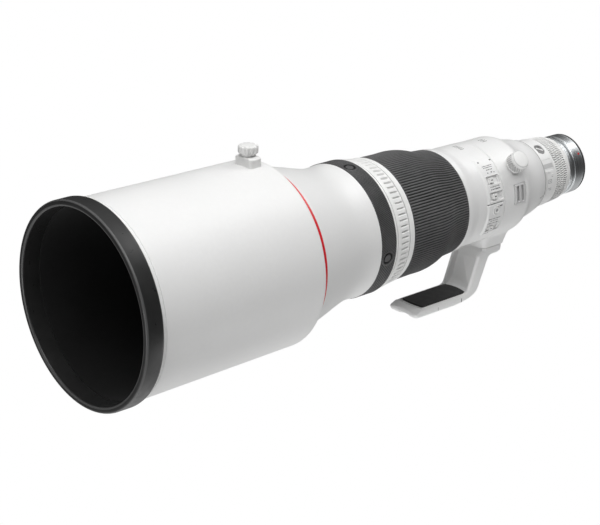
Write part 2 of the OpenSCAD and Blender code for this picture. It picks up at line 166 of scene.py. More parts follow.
def paint(name, colour, rough=0.45, grain=900, depth=0.00004, patch=24, vary=0.03, coat=0.0, spec=0.5):
    """Sprayed or moulded finish: fine orange-peel grain, faint patches of tone, uneven gloss and a little dust-soft mottling."""
    m, n, b = material(name)
    tone = n.blend(n.span(n.noise(patch, 2.0), 0.0, 1.0), scaled(colour, 1 - vary), scaled(colour, 1 + vary))
    speck = n.span(n.noise(grain * 0.6, 2.0), 0.0, 1.0, 0.35, 0.65)
    tone = n.blend(speck, tone, n.blend(0.5, tone, scaled(colour, 1 - 2.0 * vary)))
    n.link(tone, b.inputs["Base Color"])
    n.link(n.span(n.noise(patch * 3, 3.0), rough - 0.04, rough + 0.05), b.inputs["Roughness"])
    b.inputs["Specular IOR Level"].default_value = spec
    if coat:
        b.inputs["Coat Weight"].default_value = coat
        b.inputs["Coat Roughness"].default_value = 0.25
    fine = n.noise(grain, 3.0, 0.6)
    n.link(n.bump(fine, 0.35, depth), b.inputs["Normal"])
    return m


def rubber(name, crest, groove, rough=0.6, grain=1600, depth=0.00006, sheen=0.12, dusty=0.35):
    """Matt rubber: a crest attribute, which marks where the colour goes, blends from the darker groove colour to the
    lighter crest colour, so grooves carry painted shade and crests or edges painted light; a noise adds lighter dust.
    """
    m, n, b = material(name)
    at = n.add("ShaderNodeAttribute", attribute_name="crest")
    tone = n.blend(at.outputs["Fac"], groove, crest)
    dust = n.span(n.noise(60, 3.0), 0.0, 1.0)
    tone = n.blend(dust, tone, n.blend(dusty, tone, scaled(crest, 1.25)))
    n.link(tone, b.inputs["Base Color"])
    n.link(n.span(n.noise(140, 3.0), rough - 0.06, rough + 0.08), b.inputs["Roughness"])
    b.inputs["Sheen Weight"].default_value = sheen
    b.inputs["Sheen Roughness"].default_value = 0.5
    b.inputs["Specular IOR Level"].default_value = 0.4
    n.link(n.bump(n.noise(grain, 3.0, 0.65), 0.4, depth), b.inputs["Normal"])
    return m


def turned(name, colour, rough=0.3, lines=2600, depth=0.00001, axis="y", vary=0.12, metal=1.0):
    """Lathe-turned or brushed metal, with fine tool lines round the axis."""
    m, n, b = material(name)
    s = {"y": (14, lines, 14), "z": (14, 14, lines), "x": (lines, 14, 14), "n": (lines * 0.2,) * 3}[axis]
    tool = n.noise(s, 3.0, 0.7)
    tone = n.blend(n.span(tool, 0.0, 1.0), scaled(colour, 1 - vary), scaled(colour, 1 + vary))
    tone = n.blend(n.span(n.noise(45, 2.0), 0.0, 1.0), tone, n.blend(0.4, tone, scaled(colour, 1 - vary)))
    n.link(tone, b.inputs["Base Color"])
    b.inputs["Metallic"].default_value = metal
    n.link(n.span(n.noise((20, lines * 0.6, 20) if axis == "y" else 300, 2.0), rough - 0.06, rough + 0.08), b.inputs["Roughness"])
    n.link(n.bump(tool, 0.5, depth), b.inputs["Normal"])
    return m


def glass(name, tint, coating):
    """Coated optical glass: clear body, thin coloured reflection that Layer Weight brings up at the rim."""
    m, n, b = material(name)
    lw = n.add("ShaderNodeLayerWeight")
    lw.inputs["Blend"].default_value = 0.35
    swirl = n.span(n.noise(6, 1.0), 0.0, 0.25)
    tone = n.blend(lw.outputs["Facing"], tint, coating)
    tone = n.blend(swirl, tone, scaled(tint, 0.9))
    n.link(tone, b.inputs["Base Color"])
    b.inputs["Transmission Weight"].default_value = 0.9
    b.inputs["IOR"].default_value = 1.52
    b.inputs["Coat Weight"].default_value = 0.6
    b.inputs["Coat Roughness"].default_value = 0.03
    b.inputs["Coat Tint"].default_value = (*scaled(coating, 1.2), 1)
    n.link(n.span(n.noise(90, 2.0), 0.015, 0.04), b.inputs["Roughness"])
    return m


def flocked(name, colour):
    """Light-trapping flock: very dark pile with a soft sheen and a lumpy nap."""
    m, n, b = material(name)
    tone = n.blend(n.span(n.noise(2200, 3.0), 0.0, 1.0), scaled(colour, 0.6), scaled(colour, 1.5))
    tone = n.blend(n.span(n.noise(26, 3.0), 0.0, 0.6), tone, scaled(colour, 1.6))
    n.link(tone, b.inputs["Base Color"])
    b.inputs["Roughness"].default_value = 0.95
    b.inputs["Specular IOR Level"].default_value = 0.1
    b.inputs["Sheen Weight"].default_value = 0.05
    b.inputs["Sheen Roughness"].default_value = 0.6
    n.link(n.bump(n.noise(2600, 3.0, 0.7), 0.7, 0.00012), b.inputs["Normal"])
    return m


def board(name):
    """Circuit board resist with lighter copper traces under it."""
    m, n, b = material(name)
    v = n.add("ShaderNodeTexVoronoi", feature="DISTANCE_TO_EDGE")
    v.inputs["Scale"].default_value = 1.0
    n.link(n.coords(260), v.inputs["Vector"])
    line = n.span(v.outputs["Distance"], 1.0, 0.0, 0.02, 0.06)
    n.link(n.blend(line, (0.012, 0.09, 0.035), (0.06, 0.22, 0.08)), b.inputs["Base Color"])
    n.link(n.span(n.noise(80), 0.3, 0.45), b.inputs["Roughness"])
    n.link(n.bump(line, 0.4, 0.00004), b.inputs["Normal"])
    return m


WHITE = (0.80, 0.80, 0.795)
MAT = {
    "white_paint": paint("white_paint", WHITE, 0.42, 700, 0.00003, 20, 0.012, coat=0.15),
    "hood_white": paint("hood_white", (0.81, 0.81, 0.805), 0.5, 420, 0.00005, 14, 0.012, coat=0.1),
    "white_moulded": paint("white_moulded", (0.79, 0.79, 0.78), 0.46, 1000, 0.00004, 30, 0.015),
    "black_rubber": rubber("black_rubber", (0.035, 0.035, 0.036), (0.012, 0.012, 0.012), 0.55),
    # grip: the groove colour is painted shade in the ridge grooves, the crest colour painted light on the ridges
    "grip_rubber": rubber("grip_rubber", (0.098, 0.098, 0.099), (0.002, 0.002, 0.002), 0.62, sheen=0.02),
    "pad_rubber": rubber("pad_rubber", (0.02, 0.02, 0.02), (0.01, 0.01, 0.01), 0.6),
    "black_moulded": paint("black_moulded", (0.025, 0.025, 0.026), 0.5, 1400, 0.00004, 40, 0.1),
    "band_black": rubber("band_black", (0.075, 0.075, 0.076), (0.003, 0.003, 0.003), 0.5, sheen=0.02),
    "black_anodised": turned("black_anodised", (0.02, 0.02, 0.022), 0.42, 1800, 0.00001, "y", 0.15, 0.6),
    "button_black": rubber("button_black", (0.075, 0.075, 0.076), (0.003, 0.003, 0.003), 0.5, sheen=0.02),
    # white rings: the grey groove colour is painted shade where the crest attribute marks grooves
    "ring_white_groove_shaded": rubber("ring_white_groove_shaded", (0.80, 0.80, 0.79), (0.30, 0.30, 0.30), 0.46, 1000, 0.00004, 0.0),
    # grey painted shade for the filter drawer's finger recess
    "drawer_shade_grey": paint("drawer_shade_grey", (0.56, 0.56, 0.56), 0.5, 1200, 0.00003, 60, 0.03),
    "rim_rubber": rubber("rim_rubber", (0.075, 0.075, 0.075), (0.012, 0.012, 0.012), 0.33, 1200, 0.00003, 0.015, 0.05),
    "lug_grey": paint("lug_grey", (0.56, 0.56, 0.56), 0.4, 1200, 0.00003, 60, 0.03),
    # the foot's white is the barrel's paint made lighter, painted light for the brighter light on the foot
    "foot_white_painted_light": paint("foot_white_painted_light", (0.87, 0.87, 0.865), 0.42, 700, 0.00003, 20, 0.012, coat=0.15),
    "mark_light": paint("mark_light", (0.42, 0.42, 0.42), 0.5, 1500, 0.00002, 80, 0.05),
    "flock": flocked("flock", (0.0075, 0.0075, 0.0076)),
    "mount_steel": turned("mount_steel", (0.61, 0.63, 0.64), 0.3, 1400, 0.0000005, "y", 0.015),
    "bright_metal": turned("bright_metal", (0.62, 0.63, 0.64), 0.2, 2600, 0.000008, "y", 0.06),
    "steel": turned("steel", (0.45, 0.46, 0.47), 0.3, 1600, 0.00001, "n", 0.1),
    "alloy": turned("alloy", (0.30, 0.30, 0.31), 0.45, 1400, 0.00002, "y", 0.1, 0.8),
    "glass": glass("glass", (0.93, 0.96, 0.97), (0.35, 0.62, 0.52)),
    "red_paint": paint("red_paint", (0.66, 0.008, 0.016), 0.35, 1200, 0.00002, 60, 0.05, coat=0.3),
    "insert_grey": paint("insert_grey", (0.20, 0.20, 0.20), 0.45, 1200, 0.00003, 60, 0.06),
    "line_grey": paint("line_grey", (0.40, 0.40, 0.40), 0.5, 1200, 0.00002, 60, 0.05),
    "grey_moulded": paint("grey_moulded", (0.36, 0.36, 0.36), 0.45, 1200, 0.00003, 60, 0.04),
    "mark_grey": paint("mark_grey", (0.085, 0.085, 0.087), 0.5, 1500, 0.00002, 80, 0.08),
    "gold": turned("gold", (0.80, 0.55, 0.20), 0.22, 2000, 0.000008, "n", 0.08),
    "board": board("board"),
    "copper": turned("copper", (0.62, 0.27, 0.14), 0.38, 2200, 0.00003, "y", 0.2),
}


# ------------------------------------------------------------------ mesh helpers (millimetres in, metres out)
def build(name, verts, quads, tris=None, sharp=38, crest=None):
    """Mesh object from numpy arrays."""
    verts = np.asarray(verts, float) * MM
    quads = np.asarray(quads, np.int64).reshape(-1, 4)
    tris = np.zeros((0, 3), np.int64) if tris is None else np.asarray(tris, np.int64).reshape(-1, 3)
    me = bpy.data.meshes.new(name)
    me.vertices.add(len(verts))
    me.vertices.foreach_set("co", verts.astype(np.float32).ravel())
    loops = np.concatenate([quads.ravel(), tris.ravel()])
    me.loops.add(len(loops))
    me.loops.foreach_set("vertex_index", loops.astype(np.int32))
    total = np.concatenate([np.full(len(quads), 4), np.full(len(tris), 3)]).astype(np.int32)
    start = np.concatenate([[0], np.cumsum(total)[:-1]]).astype(np.int32)
    me.polygons.add(len(total))
    me.polygons.foreach_set("loop_start", start)
    me.polygons.foreach_set("loop_total", total)
    me.update(calc_edges=True)
    me.validate()
    me.polygons.foreach_set("use_smooth", np.ones(len(me.polygons), bool))
    if sharp is not None:
        me.set_sharp_from_angle(angle=math.radians(sharp))
    if crest is not None:
        a = me.attributes.new("crest", "FLOAT", "POINT")
        a.data.foreach_set("value", np.asarray(crest, np.float32).ravel())
    o = bpy.data.objects.new(name, me)
    bpy.context.scene.collection.objects.link(o)
    return o


def area2(p):
    x, y = p[:, 0], p[:, 1]
    return float(np.sum(x * np.roll(y, -1) - np.roll(x, -1) * y))


def fillet(pts, rad, n=4, closed=True):
    """Rounds the corners of a polyline with short curves."""
    P = [np.array(p, float) for p in pts]
    out = []
    m = len(P)
    for i, p in enumerate(P):
        if not closed and i in (0, m - 1):
            out.append(p)
            continue
        a, b = P[i - 1], P[(i + 1) % m]
        u, v = a - p, b - p
        lu, lv = np.linalg.norm(u), np.linalg.norm(v)
        r = rad[i] if hasattr(rad, "__len__") else rad
        t = min(r, lu * 0.45, lv * 0.45)
        if t < 1e-3 or np.dot(u, v) / (lu * lv) < -0.9985:
            out.append(p)
            continue
        p1, p2 = p + u / lu * t, p + v / lv * t
        for k in range(n + 1):
            s = k / n
            out.append((1 - s) ** 2 * p1 + 2 * s * (1 - s) * p + s * s * p2)
    return np.array(out)


def densify(pts, step, closed=True):
    P = np.asarray(pts, float)
    out = []
    m = len(P)
    for i in range(m if closed else m - 1):
        a, b = P[i], P[(i + 1) % m]
        k = max(1, int(math.ceil(np.linalg.norm(b - a) / step)))
        for j in range(k):
            out.append(a + (b - a) * j / k)
    if not closed:
        out.append(P[-1])
    return np.array(out)


def spline(pts, step):
    """Smooth curve through [r, y] points, by a monotone cubic in y, sampled about every step."""
    P = np.asarray(pts, float)
    y, r = P[:, 1], P[:, 0]
    h = np.diff(y)
    d = np.diff(r) / h
    m = np.zeros(len(y))
    m[0], m[-1] = d[0], d[-1]
    for i in range(1, len(y) - 1):
        if d[i - 1] * d[i] > 0:
            w1, w2 = 2 * h[i] + h[i - 1], h[i] + 2 * h[i - 1]
            m[i] = (w1 + w2) / (w1 / d[i - 1] + w2 / d[i])
    ys = np.linspace(y[0], y[-1], max(3, int(math.ceil((y[-1] - y[0]) / step)) + 1))
    k = np.clip(np.searchsorted(y, ys, side="right") - 1, 0, len(h) - 1)
    t = (ys - y[k]) / h[k]
    t2, t3 = t * t, t * t * t
    rs = (2 * t3 - 3 * t2 + 1) * r[k] + (t3 - 2 * t2 + t) * h[k] * m[k] + (-2 * t3 + 3 * t2) * r[k + 1] + (t3 - t2) * h[k] * m[k + 1]
    return np.stack([rs, ys], 1)


def grid_faces(ni, nj, wrap_i, wrap_j, flip=False):
    """Quads of an ni by nj grid, vertex index i * nj + j."""
    i = np.arange(ni if wrap_i else ni - 1)
    j = np.arange(nj if wrap_j else nj - 1)
    I, J = np.meshgrid(i, j, indexing="ij")
    I2, J2 = (I + 1) % ni, (J + 1) % nj
    q = np.stack([I * nj + J, I * nj + J2, I2 * nj + J2, I2 * nj + J], -1).reshape(-1, 4)
    return q[:, ::-1] if flip else q


def revolve(name, pts, segs=256, phis=None, closed=True, disp=None, sharp=38, axis="y", centre=(0, 0, 0), crest=None):
    """Revolves [r, y] points about the optical axis. disp(R, Y, PHI) gives the new radius."""
    P = np.asarray(pts, float)
    if closed and area2(P) < 0:
        P = P[::-1]
    phi = np.arange(segs) * TAU / segs if phis is None else np.asarray(phis)
    R = P[:, 0][:, None] + np.zeros(len(phi))
    Y = P[:, 1][:, None] + np.zeros(len(phi))
    F = phi[None, :] + np.zeros(len(P))[:, None]
    if disp is not None:
        R = disp(R, Y, F)
    V = np.stack([R * np.sin(F), Y, R * np.cos(F)], -1).reshape(-1, 3)
    C = crest(R, Y, F) if crest is not None else None
    return build(name, V, grid_faces(len(P), len(phi), closed, True), sharp=sharp, crest=C)


def lathe(pts, segs=96, disp=None):
    """Vertices and quads of a solid of revolution about local Z, from [rho, z] points that start and end on the axis."""
    P = np.asarray(pts, float)
    th = np.arange(segs) * TAU / segs
    body = P[1:-1]
    R = body[:, 0][:, None] + np.zeros(segs)
    Z = body[:, 1][:, None] + np.zeros(segs)
    T = th[None, :] + np.zeros(len(body))[:, None]
    if disp is not None:
        R = disp(R, Z, T)
    V = np.stack([R * np.cos(T), R * np.sin(T), Z], -1).reshape(-1, 3)
    q = grid_faces(len(body), segs, False, True)
    nb = len(V)
    V = np.vstack([V, [[0, 0, P[0, 1]], [0, 0, P[-1, 1]]]])
    j = np.arange(segs)
    j2 = (j + 1) % segs
    tb = np.stack([np.full(segs, nb), j2, j], 1)
    last = (len(body) - 1) * segs
    tt = np.stack([np.full(segs, nb + 1), last + j, last + j2], 1)
    return V, q, np.vstack([tb, tt])


def place(V, phi, y=0.0, r=0.0):
    """Local coordinates (tangential, along Y, radial) to the frame, at an angle in degrees."""
    a = math.radians(phi)
    X, Yl, Z = V[:, 0], V[:, 1], V[:, 2] + r
    return np.stack([X * math.cos(a) + Z * math.sin(a), Yl + y, -X * math.sin(a) + Z * math.cos(a)], 1)


def join(parts):
    """Joins (verts, quads, tris) sets."""
    V, Q, T, k = [], [], [], 0
    for v, q, t in parts:
        V.append(v)
        Q.append(np.asarray(q, np.int64).reshape(-1, 4) + k)
        T.append((np.zeros((0, 3), np.int64) if t is None else np.asarray(t, np.int64).reshape(-1, 3)) + k)
        k += len(v)
    return np.vstack(V), np.vstack(Q), np.vstack(T)


def net(F, origin, h):
    """Surface nets of a distance field (negative inside) on a grid: verts and quads."""
    inside = F < 0
    nx, ny, nz = F.shape
    corners = [(a, b, c) for a in (0, 1) for b in (0, 1) for c in (0, 1)]
    sub = {c: (slice(c[0], nx - 1 + c[0]), slice(c[1], ny - 1 + c[1]), slice(c[2], nz - 1 + c[2])) for c in corners}
    count = sum(inside[sub[c]].astype(np.int8) for c in corners)
    active = (count > 0) & (count < 8)
    ids = np.argwhere(active)
    index = np.full(active.shape, -1, np.int64)
    index[active] = np.arange(len(ids))
    acc = np.zeros((len(ids), 3))
    num = np.zeros(len(ids))
    i, j, k = ids.T
    for c in corners:
        for ax in range(3):
            if c[ax]:
                continue
            d = list(c)
            d[ax] = 1
            fa = F[i + c[0], j + c[1], k + c[2]]
            fb = F[i + d[0], j + d[1], k + d[2]]
            cross = (fa < 0) != (fb < 0)
            t = np.where(cross, fa / np.where(cross, fa - fb, 1), 0)
            p = np.array(c, float)[None, :] + np.zeros((len(ids), 3))
            p[:, ax] = t
            acc += p * cross[:, None]
            num += cross
    V = np.array(origin) + (ids + acc / num[:, None]) * h
    quads = []
    for ax in range(3):
        u, v = (ax + 1) % 3, (ax + 2) % 3
        sa = [slice(None)] * 3
        sb = [slice(None)] * 3
        sa[ax], sb[ax] = slice(0, -1), slice(1, None)
        A, B = inside[tuple(sa)], inside[tuple(sb)]
        cr = np.argwhere(A != B)
        lim = np.array(active.shape)
        ok = (cr[:, u] > 0) & (cr[:, v] > 0) & (cr[:, u] < lim[u]) & (cr[:, v] < lim[v])
        cr = cr[ok]
        sign = A[tuple(cr.T)]
        eu, ev = np.zeros(3, int), np.zeros(3, int)
        eu[u], ev[v] = 1, 1
        q = np.stack([index[tuple((cr - eu - ev).T)], index[tuple((cr - ev).T)], index[tuple(cr.T)], index[tuple((cr - eu).T)]], 1)
        q[~sign] = q[~sign][:, ::-1]
        quads.append(q)
    Q = np.vstack(quads)
    return V, Q[(Q >= 0).all(1)]


def smin(a, b, k):
    h = np.clip(0.5 + 0.5 * (b - a) / k, 0, 1)
    return b * (1 - h) + a * h - k * h * (1 - h)


def smax(a, b, k):
    return -smin(-a, -b, k)


def sd_poly(px, py, poly):
    """Signed distance from points to a polygon."""
    P = np.asarray(poly, float)
    d = np.full(px.shape, 1e9)
    s = np.ones(px.shape)
    m = len(P)
    for i in range(m):
        a, b = P[i], P[i - 1]
        ex, ey = b[0] - a[0], b[1] - a[1]
        wx, wy = px - a[0], py - a[1]
        t = np.clip((wx * ex + wy * ey) / (ex * ex + ey * ey), 0, 1)
        bx, by = wx - ex * t, wy - ey * t
        d = np.minimum(d, bx * bx + by * by)
        c1, c2, c3 = py >= a[1], py < b[1], ex * wy > ey * wx
        flipm = (c1 & c2 & c3) | (~c1 & ~c2 & ~c3)
        s = np.where(flipm, -s, s)
    return s * np.sqrt(d)


def sd_rbox(x, y, z, hx, hy, hz, r):
    qx, qy, qz = np.abs(x) - hx + r, np.abs(y) - hy + r, np.abs(z) - hz + r
    return np.sqrt(np.maximum(qx, 0) ** 2 + np.maximum(qy, 0) ** 2 + np.maximum(qz, 0) ** 2) + np.minimum(np.maximum(qx, np.maximum(qy, qz)), 0) - r


def extrude(d2, across, half, r):
    """Rounded extrusion of a 2D distance field."""
    wx, wy = d2 + r, np.abs(across) - (half - r)
    return np.minimum(np.maximum(wx, wy), 0) + np.sqrt(np.maximum(wx, 0) ** 2 + np.maximum(wy, 0) ** 2) - r


def axes(lo, hi, h):
    xs = [np.arange(a - 2 * h, b + 2.5 * h, h) for a, b in zip(lo, hi)]
    X, Y, Z = np.meshgrid(*xs, indexing="ij", sparse=True)
    return X, Y, Z, [x[0] for x in xs]


def step01(x, a, b):
    t = np.clip((x - a) / (b - a), 0, 1)
    return t * t * (3 - 2 * t)


def finish_piece(o, body, mat, nodes=()):
    o.data.materials.clear()
    o.data.materials.append(MAT[mat])
    if nodes:
        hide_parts(*nodes)
    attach(o, body)
    return o


# ------------------------------------------------------------------ CAD nodes keep their mesh and take a finish
CAD_FINISH = {
    "front_retainer": "black_anodised", "front_element": "glass", "front_cell": "black_anodised", "inner_elements": "glass",
    "main_tube": "alloy", "rear_barrel": "white_paint", "bayonet_ring": "bright_metal", "mount_seal": "black_rubber",
    "mount_screws": "steel", "contact_block": "black_moulded", "contact_pins": "gold", "index_dot": "red_paint",
    "light_baffle": "flock", "iris_unit": "black_anodised", "iris_ring": "steel", "motor_stator": "copper",
    "motor_rotor": "steel", "guide_rods": "steel", "focus_cell": "black_anodised", "focus_lens": "glass",
    "stabiliser_frame": "alloy", "stabiliser_yoke": "alloy", "stabiliser_lens": "glass", "main_board": "board",
    "rear_element": "glass", "focus_sleeve": "alloy", "filter_holder": "white_paint", "filter_glass": "glass",
    "brake_shoe": "black_moulded", "tripod_bushes": "steel", "foot_screws": "steel", "hood_lining": "flock",
    "hood_base_ring": "black_moulded", "hood_shell": "hood_white",
    "range_switch": "white_moulded", "mode_switch": "white_moulded", "preset_switch": "white_moulded",
    }
for node, o in NODES.items():
    o.data.materials.clear()
    o.data.materials.append(MAT[CAD_FINISH.get(node, "white_paint")])

# ------------------------------------------------------------------ hood
shell = fillet([[90.4, -608.4], [92.5, -608.4], [92.42, -604.2], [92.9, -603.8], [92.9, -603.2], [92.35, -602.7], [90.2, -429], [90.2, -423.8], [89.8, -422.2],
                [88.6, -421.6], [86.2, -421.6], [87.3, -423.4], [87.9, -429]], [0, 0.2, 0.1, 0.25, 0.25, 0.3, 3, 1, 0.6, 0.4, 0.2, 1, 1])
finish_piece(revolve("hood_shell_skin", densify(shell, 14), 384), "hood", "hood_white", ["hood_shell"])
rim = fillet([[89.2, -625.6], [90.0, -626.6], [91.2, -627], [93.6, -627], [94.8, -626.4], [95.5, -625.1], [95.5, -618], [95.5, -610.5], [95.1, -609],
              [94.4, -608.5], [90.0, -608.5], [89.2, -608.5]], 0.7)
# painted highlights: the rounded inner and outer front edges and the rear outer edge take the lighter crest colour, the
# rest the darker one
finish_piece(revolve("hood_rim_ring", rim, 384, crest=lambda R, Y, F: np.where(((Y < -626.2) & (R < 91.4)) | ((Y < -625.0) & (R > 94.4)) | ((Y > -609.6) & (R > 94.9)), 1.0, 0.06)), "hood", "rim_rubber", ["hood_rim"])
lining = [[88.5, -608.4], [90.3, -608.4], [88.1, -447.6], [87.2, -447.6], [86.9, -470], [87.7, -540]]
finish_piece(revolve("hood_lining_flock", lining, 384), "hood", "flock", ["hood_lining"])

# saddle block under the clamp knob
X, Y, Z, o0 = axes((-12.5, -446, 85), (12.5, -430, 100.9), 0.3)
d = sd_rbox(X, Y + 438, Z - 88, 11.4, 7.0, 11.7, 2.9)
d = smax(d, Z - (99.5 - 0.013 * X * X), 1.2)
d = np.maximum(d, 88.7 - np.sqrt(X * X + Z * Z))
d = np.maximum(d, 2.9 - np.sqrt(X * X + (Y + 438) ** 2))
V, Q = net(d, o0, 0.3)
finish_piece(build("hood_saddle", V, Q, sharp=50), "hood", "white_moulded", ["hood_clamp_block"])

# clamp knob with twelve finger lobes
kp = fillet([[0, 84.8], [3, 84.8], [3, 99.75], [7.4, 99.9], [7.4, 101.5], [8.6, 101.5], [9.4, 102.3], [9.4, 107.7], [8.9, 108.6], [7.6, 109.1], [4, 109.4], [0, 109.5]],
            [0, 0.2, 0.2, 0.2, 0.2, 0.5, 0.6, 0.9, 0.7, 0.5, 1, 0], closed=False)
kp = densify(kp, 1.0, closed=False)


def hood_knob_disp(R, Z, T):
    f = np.abs(((T * 12 / TAU) % 1.0) - 0.5) * 2  # 1 at a groove, 0 at a lobe
    cut = 1.7 * np.exp(-(((1 - f) / 0.36) ** 2))
    w = step01(Z, 101.2, 101.9) * step01(R, 6.2, 7.9)
    return R - cut * w


V, Q, T = lathe(kp, 288, hood_knob_disp)
V = V + np.array([0, -438, 0])
finish_piece(build("hood_knob_lobed", V, Q, T, sharp=45), "hood_lock", "white_moulded", ["hood_knob"])

# ------------------------------------------------------------------ front barrel
outer = spline([[82.0, -413.4], [77.9, -399], [73.9, -384], [69.7, -369], [66.9, -357], [65.7, -348], [65.55, -342], [66.4, -330.5]], 3.0)
fb = [[79.5, -472], [82.5, -472], [83.5, -471.6], [84, -470.5], [84, -424.2], [82.8, -416.7], [82.6, -416.4], [81.7, -416.4], [81.7, -413.6], [81.95, -413.6]]
inner = [[66.4, -330.4], [63, -330.4], [63, -345], [63.8, -352], [67.1, -369], [71.3, -384], [75.3, -399], [79.3, -414], [81.5, -426], [81.5, -464], [79.5, -464]]
finish_piece(revolve("front_barrel_skin", np.vstack([np.array(fb), outer, np.array(inner)]), 384), "barrel", "white_paint", ["front_barrel"])
rr = fillet([[81.75, -416.3], [82.75, -416.3], [82.75, -413.7], [81.75, -413.7]], 0.25)
finish_piece(revolve("red_line", rr, 384), "barrel", "red_paint", ["red_ring"])

# ------------------------------------------------------------------ button band: knurled skin with four wells
cols = 1232
ys = np.linspace(-329.5, -312.2, 47)
rows = [[63, -330.2], [66.3, -330.2], [66.75, -329.85]] + [[66.9, y] for y in ys] + [[66.75, -311.75], [66.3, -311.4], [63, -311.4]]
rows = np.array(rows)
WELLS = [9, 99, 189, 279]
STARTS = 160


def band_cut(Y, F):
    """Depth of the two crossing sets of helical grooves, 0 on a diamond's crown and 1 in a groove."""
    a = np.abs(((F * STARTS / TAU + Y * STARTS / (TAU * 66.9)) % 1.0) - 0.5) * 2
    b = np.abs(((F * STARTS / TAU - Y * STARTS / (TAU * 66.9)) % 1.0) - 0.5) * 2
    return np.maximum(0.4 * step01(a, 0.45, 0.95), step01(b, 0.35, 0.9))


def well_distance(Y, F):
    best = np.full(np.broadcast(Y, F).shape, 1e3)
    for w in WELLS:
        a = (F - math.radians(w) + math.pi) % TAU - math.pi
        best = np.minimum(best, np.hypot(a * 66.9, Y + 321.6))
    return best


def band_disp(R, Y, F):
    dist = well_distance(Y, F)
    side = step01(Y, -329.6, -328.6) * (1 - step01(Y, -313.0, -312.1))
    R = np.where(R > 66.85, R - 0.6 * band_cut(Y, F) * side * step01(dist, 7.9, 8.5), R)
    return np.where((dist < 6.35) & (R > 64), 64.1, R)


# painted shade: the knurl grooves take the near-black groove colour and the diamond crowns the lighter band colour
def band_groove_shade(R, Y, F):
    return np.clip(1 - band_cut(Y, F), 0, 1)


finish_piece(revolve("button_band_knurl", rows, cols, disp=band_disp, sharp=30, crest=band_groove_shade), "barrel", "band_black", ["button_band"])
for w, letter in zip(WELLS, "abcd"):
    bez = fillet([[5.95, 64.0], [5.95, 66.8], [6.35, 67.2], [7.2, 67.1], [7.9, 66.75], [7.9, 66.2], [6.6, 66.0], [6.6, 64.0]], 0.25)
    th = np.arange(96) * TAU / 96
    P = bez if area2(bez) < 0 else bez[::-1]
    V = np.stack([P[:, 0][:, None] * np.cos(th), P[:, 0][:, None] * np.sin(th), P[:, 1][:, None] + 0 * th], -1)
    V[..., 2] -= V[..., 0] ** 2 / (2 * 66.9)
    V = place(V.reshape(-1, 3), w, -321.6)
    o = build("button_bezel_" + letter, V, grid_faces(len(P), 96, True, True), crest=np.full(len(V), 0.85))
    finish_piece(o, "barrel", "band_black")
    bp = fillet([[0, 64], [5.55, 64], [5.55, 65.0], [4.0, 65.15], [3.95, 66.45], [3.3, 66.75], [0, 66.6]], [0, 0.2, 0.2, 0.15, 0.3, 0.8, 0], closed=False)
    V, Q, T = lathe(densify(bp, 0.6, closed=False), 96)
    rho = np.hypot(V[:, 0], V[:, 1])
    # painted shade: only the raised centre top takes the lighter colour; the lower rim and the sides take the
    # near-black groove colour as the shade round the button
    tone = np.where((rho < 4.1) & (V[:, 2] > 66.2), 1.15, 0.0)
    V = place(V, w, -321.6)
    o = build("function_button_cap_" + letter, V, Q, T, crest=tone)
    finish_piece(o, "button_" + letter, "button_black", ["function_button_" + letter])

# ------------------------------------------------------------------ playback ring
pb = fillet([[60.8, -311], [65.8, -311], [66.1, -310.4], [66.0, -308.9], [64.3, -308.75], [64.3, -307.9], [65.65, -307.7], [65.4, -303.6], [63.75, -291.2],
             [61.9, -291.0], [61.9, -290.1], [63.5, -289.9], [63.1, -283.9], [62.6, -283.4], [60.95, -283.4], [60.95, -286.9], [60.8, -287.1]],
            [0, 0.4, 0.4, 0.2, 0.15, 0.15, 0.2, 2, 0.2, 0.15, 0.15, 0.2, 0.4, 0.3, 0, 0, 0], n=3)
pb = densify(pb, 0.8)


def pb_disp(R, Y, F):
    f = ((np.degrees(F) - 1.0) / 5.0) % 1.0
    f = np.where(f > 0.5, f - 1, f)
    g = np.where(np.abs(f) < 0.2, np.cos(np.clip(f / 0.2, -1, 1) * math.pi / 2) ** 0.8, 0)
    w = step01(Y, -303.4, -301.6) * (1 - step01(Y, -293.2, -291.4)) * (R > 62)
    return R - 1.7 * g * w


# painted shade: a dark stripe near one wall of each scallop, and the two edge grooves darkened
def pb_groove_shade(R, Y, F):
    f = ((np.degrees(F) - 1.0) / 5.0) % 1.0
    f = np.where(f > 0.5, f - 1, f)
    w = step01(Y, -302.9, -301.2) * (1 - step01(Y, -293.6, -292.0))
    # painted shade in the two narrow edge grooves
    line = ((Y > -308.8) & (Y < -307.8) & (R < 65)) | ((Y > -291.1) & (Y < -290.0) & (R < 63))
    return 1 - 0.75 * np.exp(-((f + 0.05) / 0.075) ** 2) * w - 0.55 * line


finish_piece(revolve("playback_ring_ribbed", pb, 72 * 16, disp=pb_disp, sharp=40, crest=pb_groove_shade), "playback", "ring_white_groove_shaded", ["playback_ring"])

# ------------------------------------------------------------------ focus grip: 135 lengthwise ridges
fo = spline([[62.3, -282.2], [62.2, -272], [61.9, -256], [62.1, -246], [61.6, -239], [60.0, -231], [57.8, -224], [56.1, -218.5], [54.9, -211], [54.4, -205], [54.1, -200.2]], 1.9)
fg = np.vstack([[[60.85, -282.8], [61.9, -282.8], [62.15, -282.6]], fo, [[53.9, -199.6], [53.5, -199.4], [52.45, -199.4], [52.75, -206], [54.25, -218], [58.45, -232], [60.85, -242]]])
RIDGES = 135
fr = np.array([0.0, 0.17, 0.27, 0.37, 0.5, 0.63, 0.73, 0.83])
phis = ((np.arange(RIDGES)[:, None] + fr[None, :]) / RIDGES * TAU).ravel()


def ridge(F):
    f = np.abs(((F / TAU * RIDGES + 0.5) % 1.0) - 0.5) * 2  # 0 on a crest, 1 in a groove
    return step01(f, 0.30, 0.95)


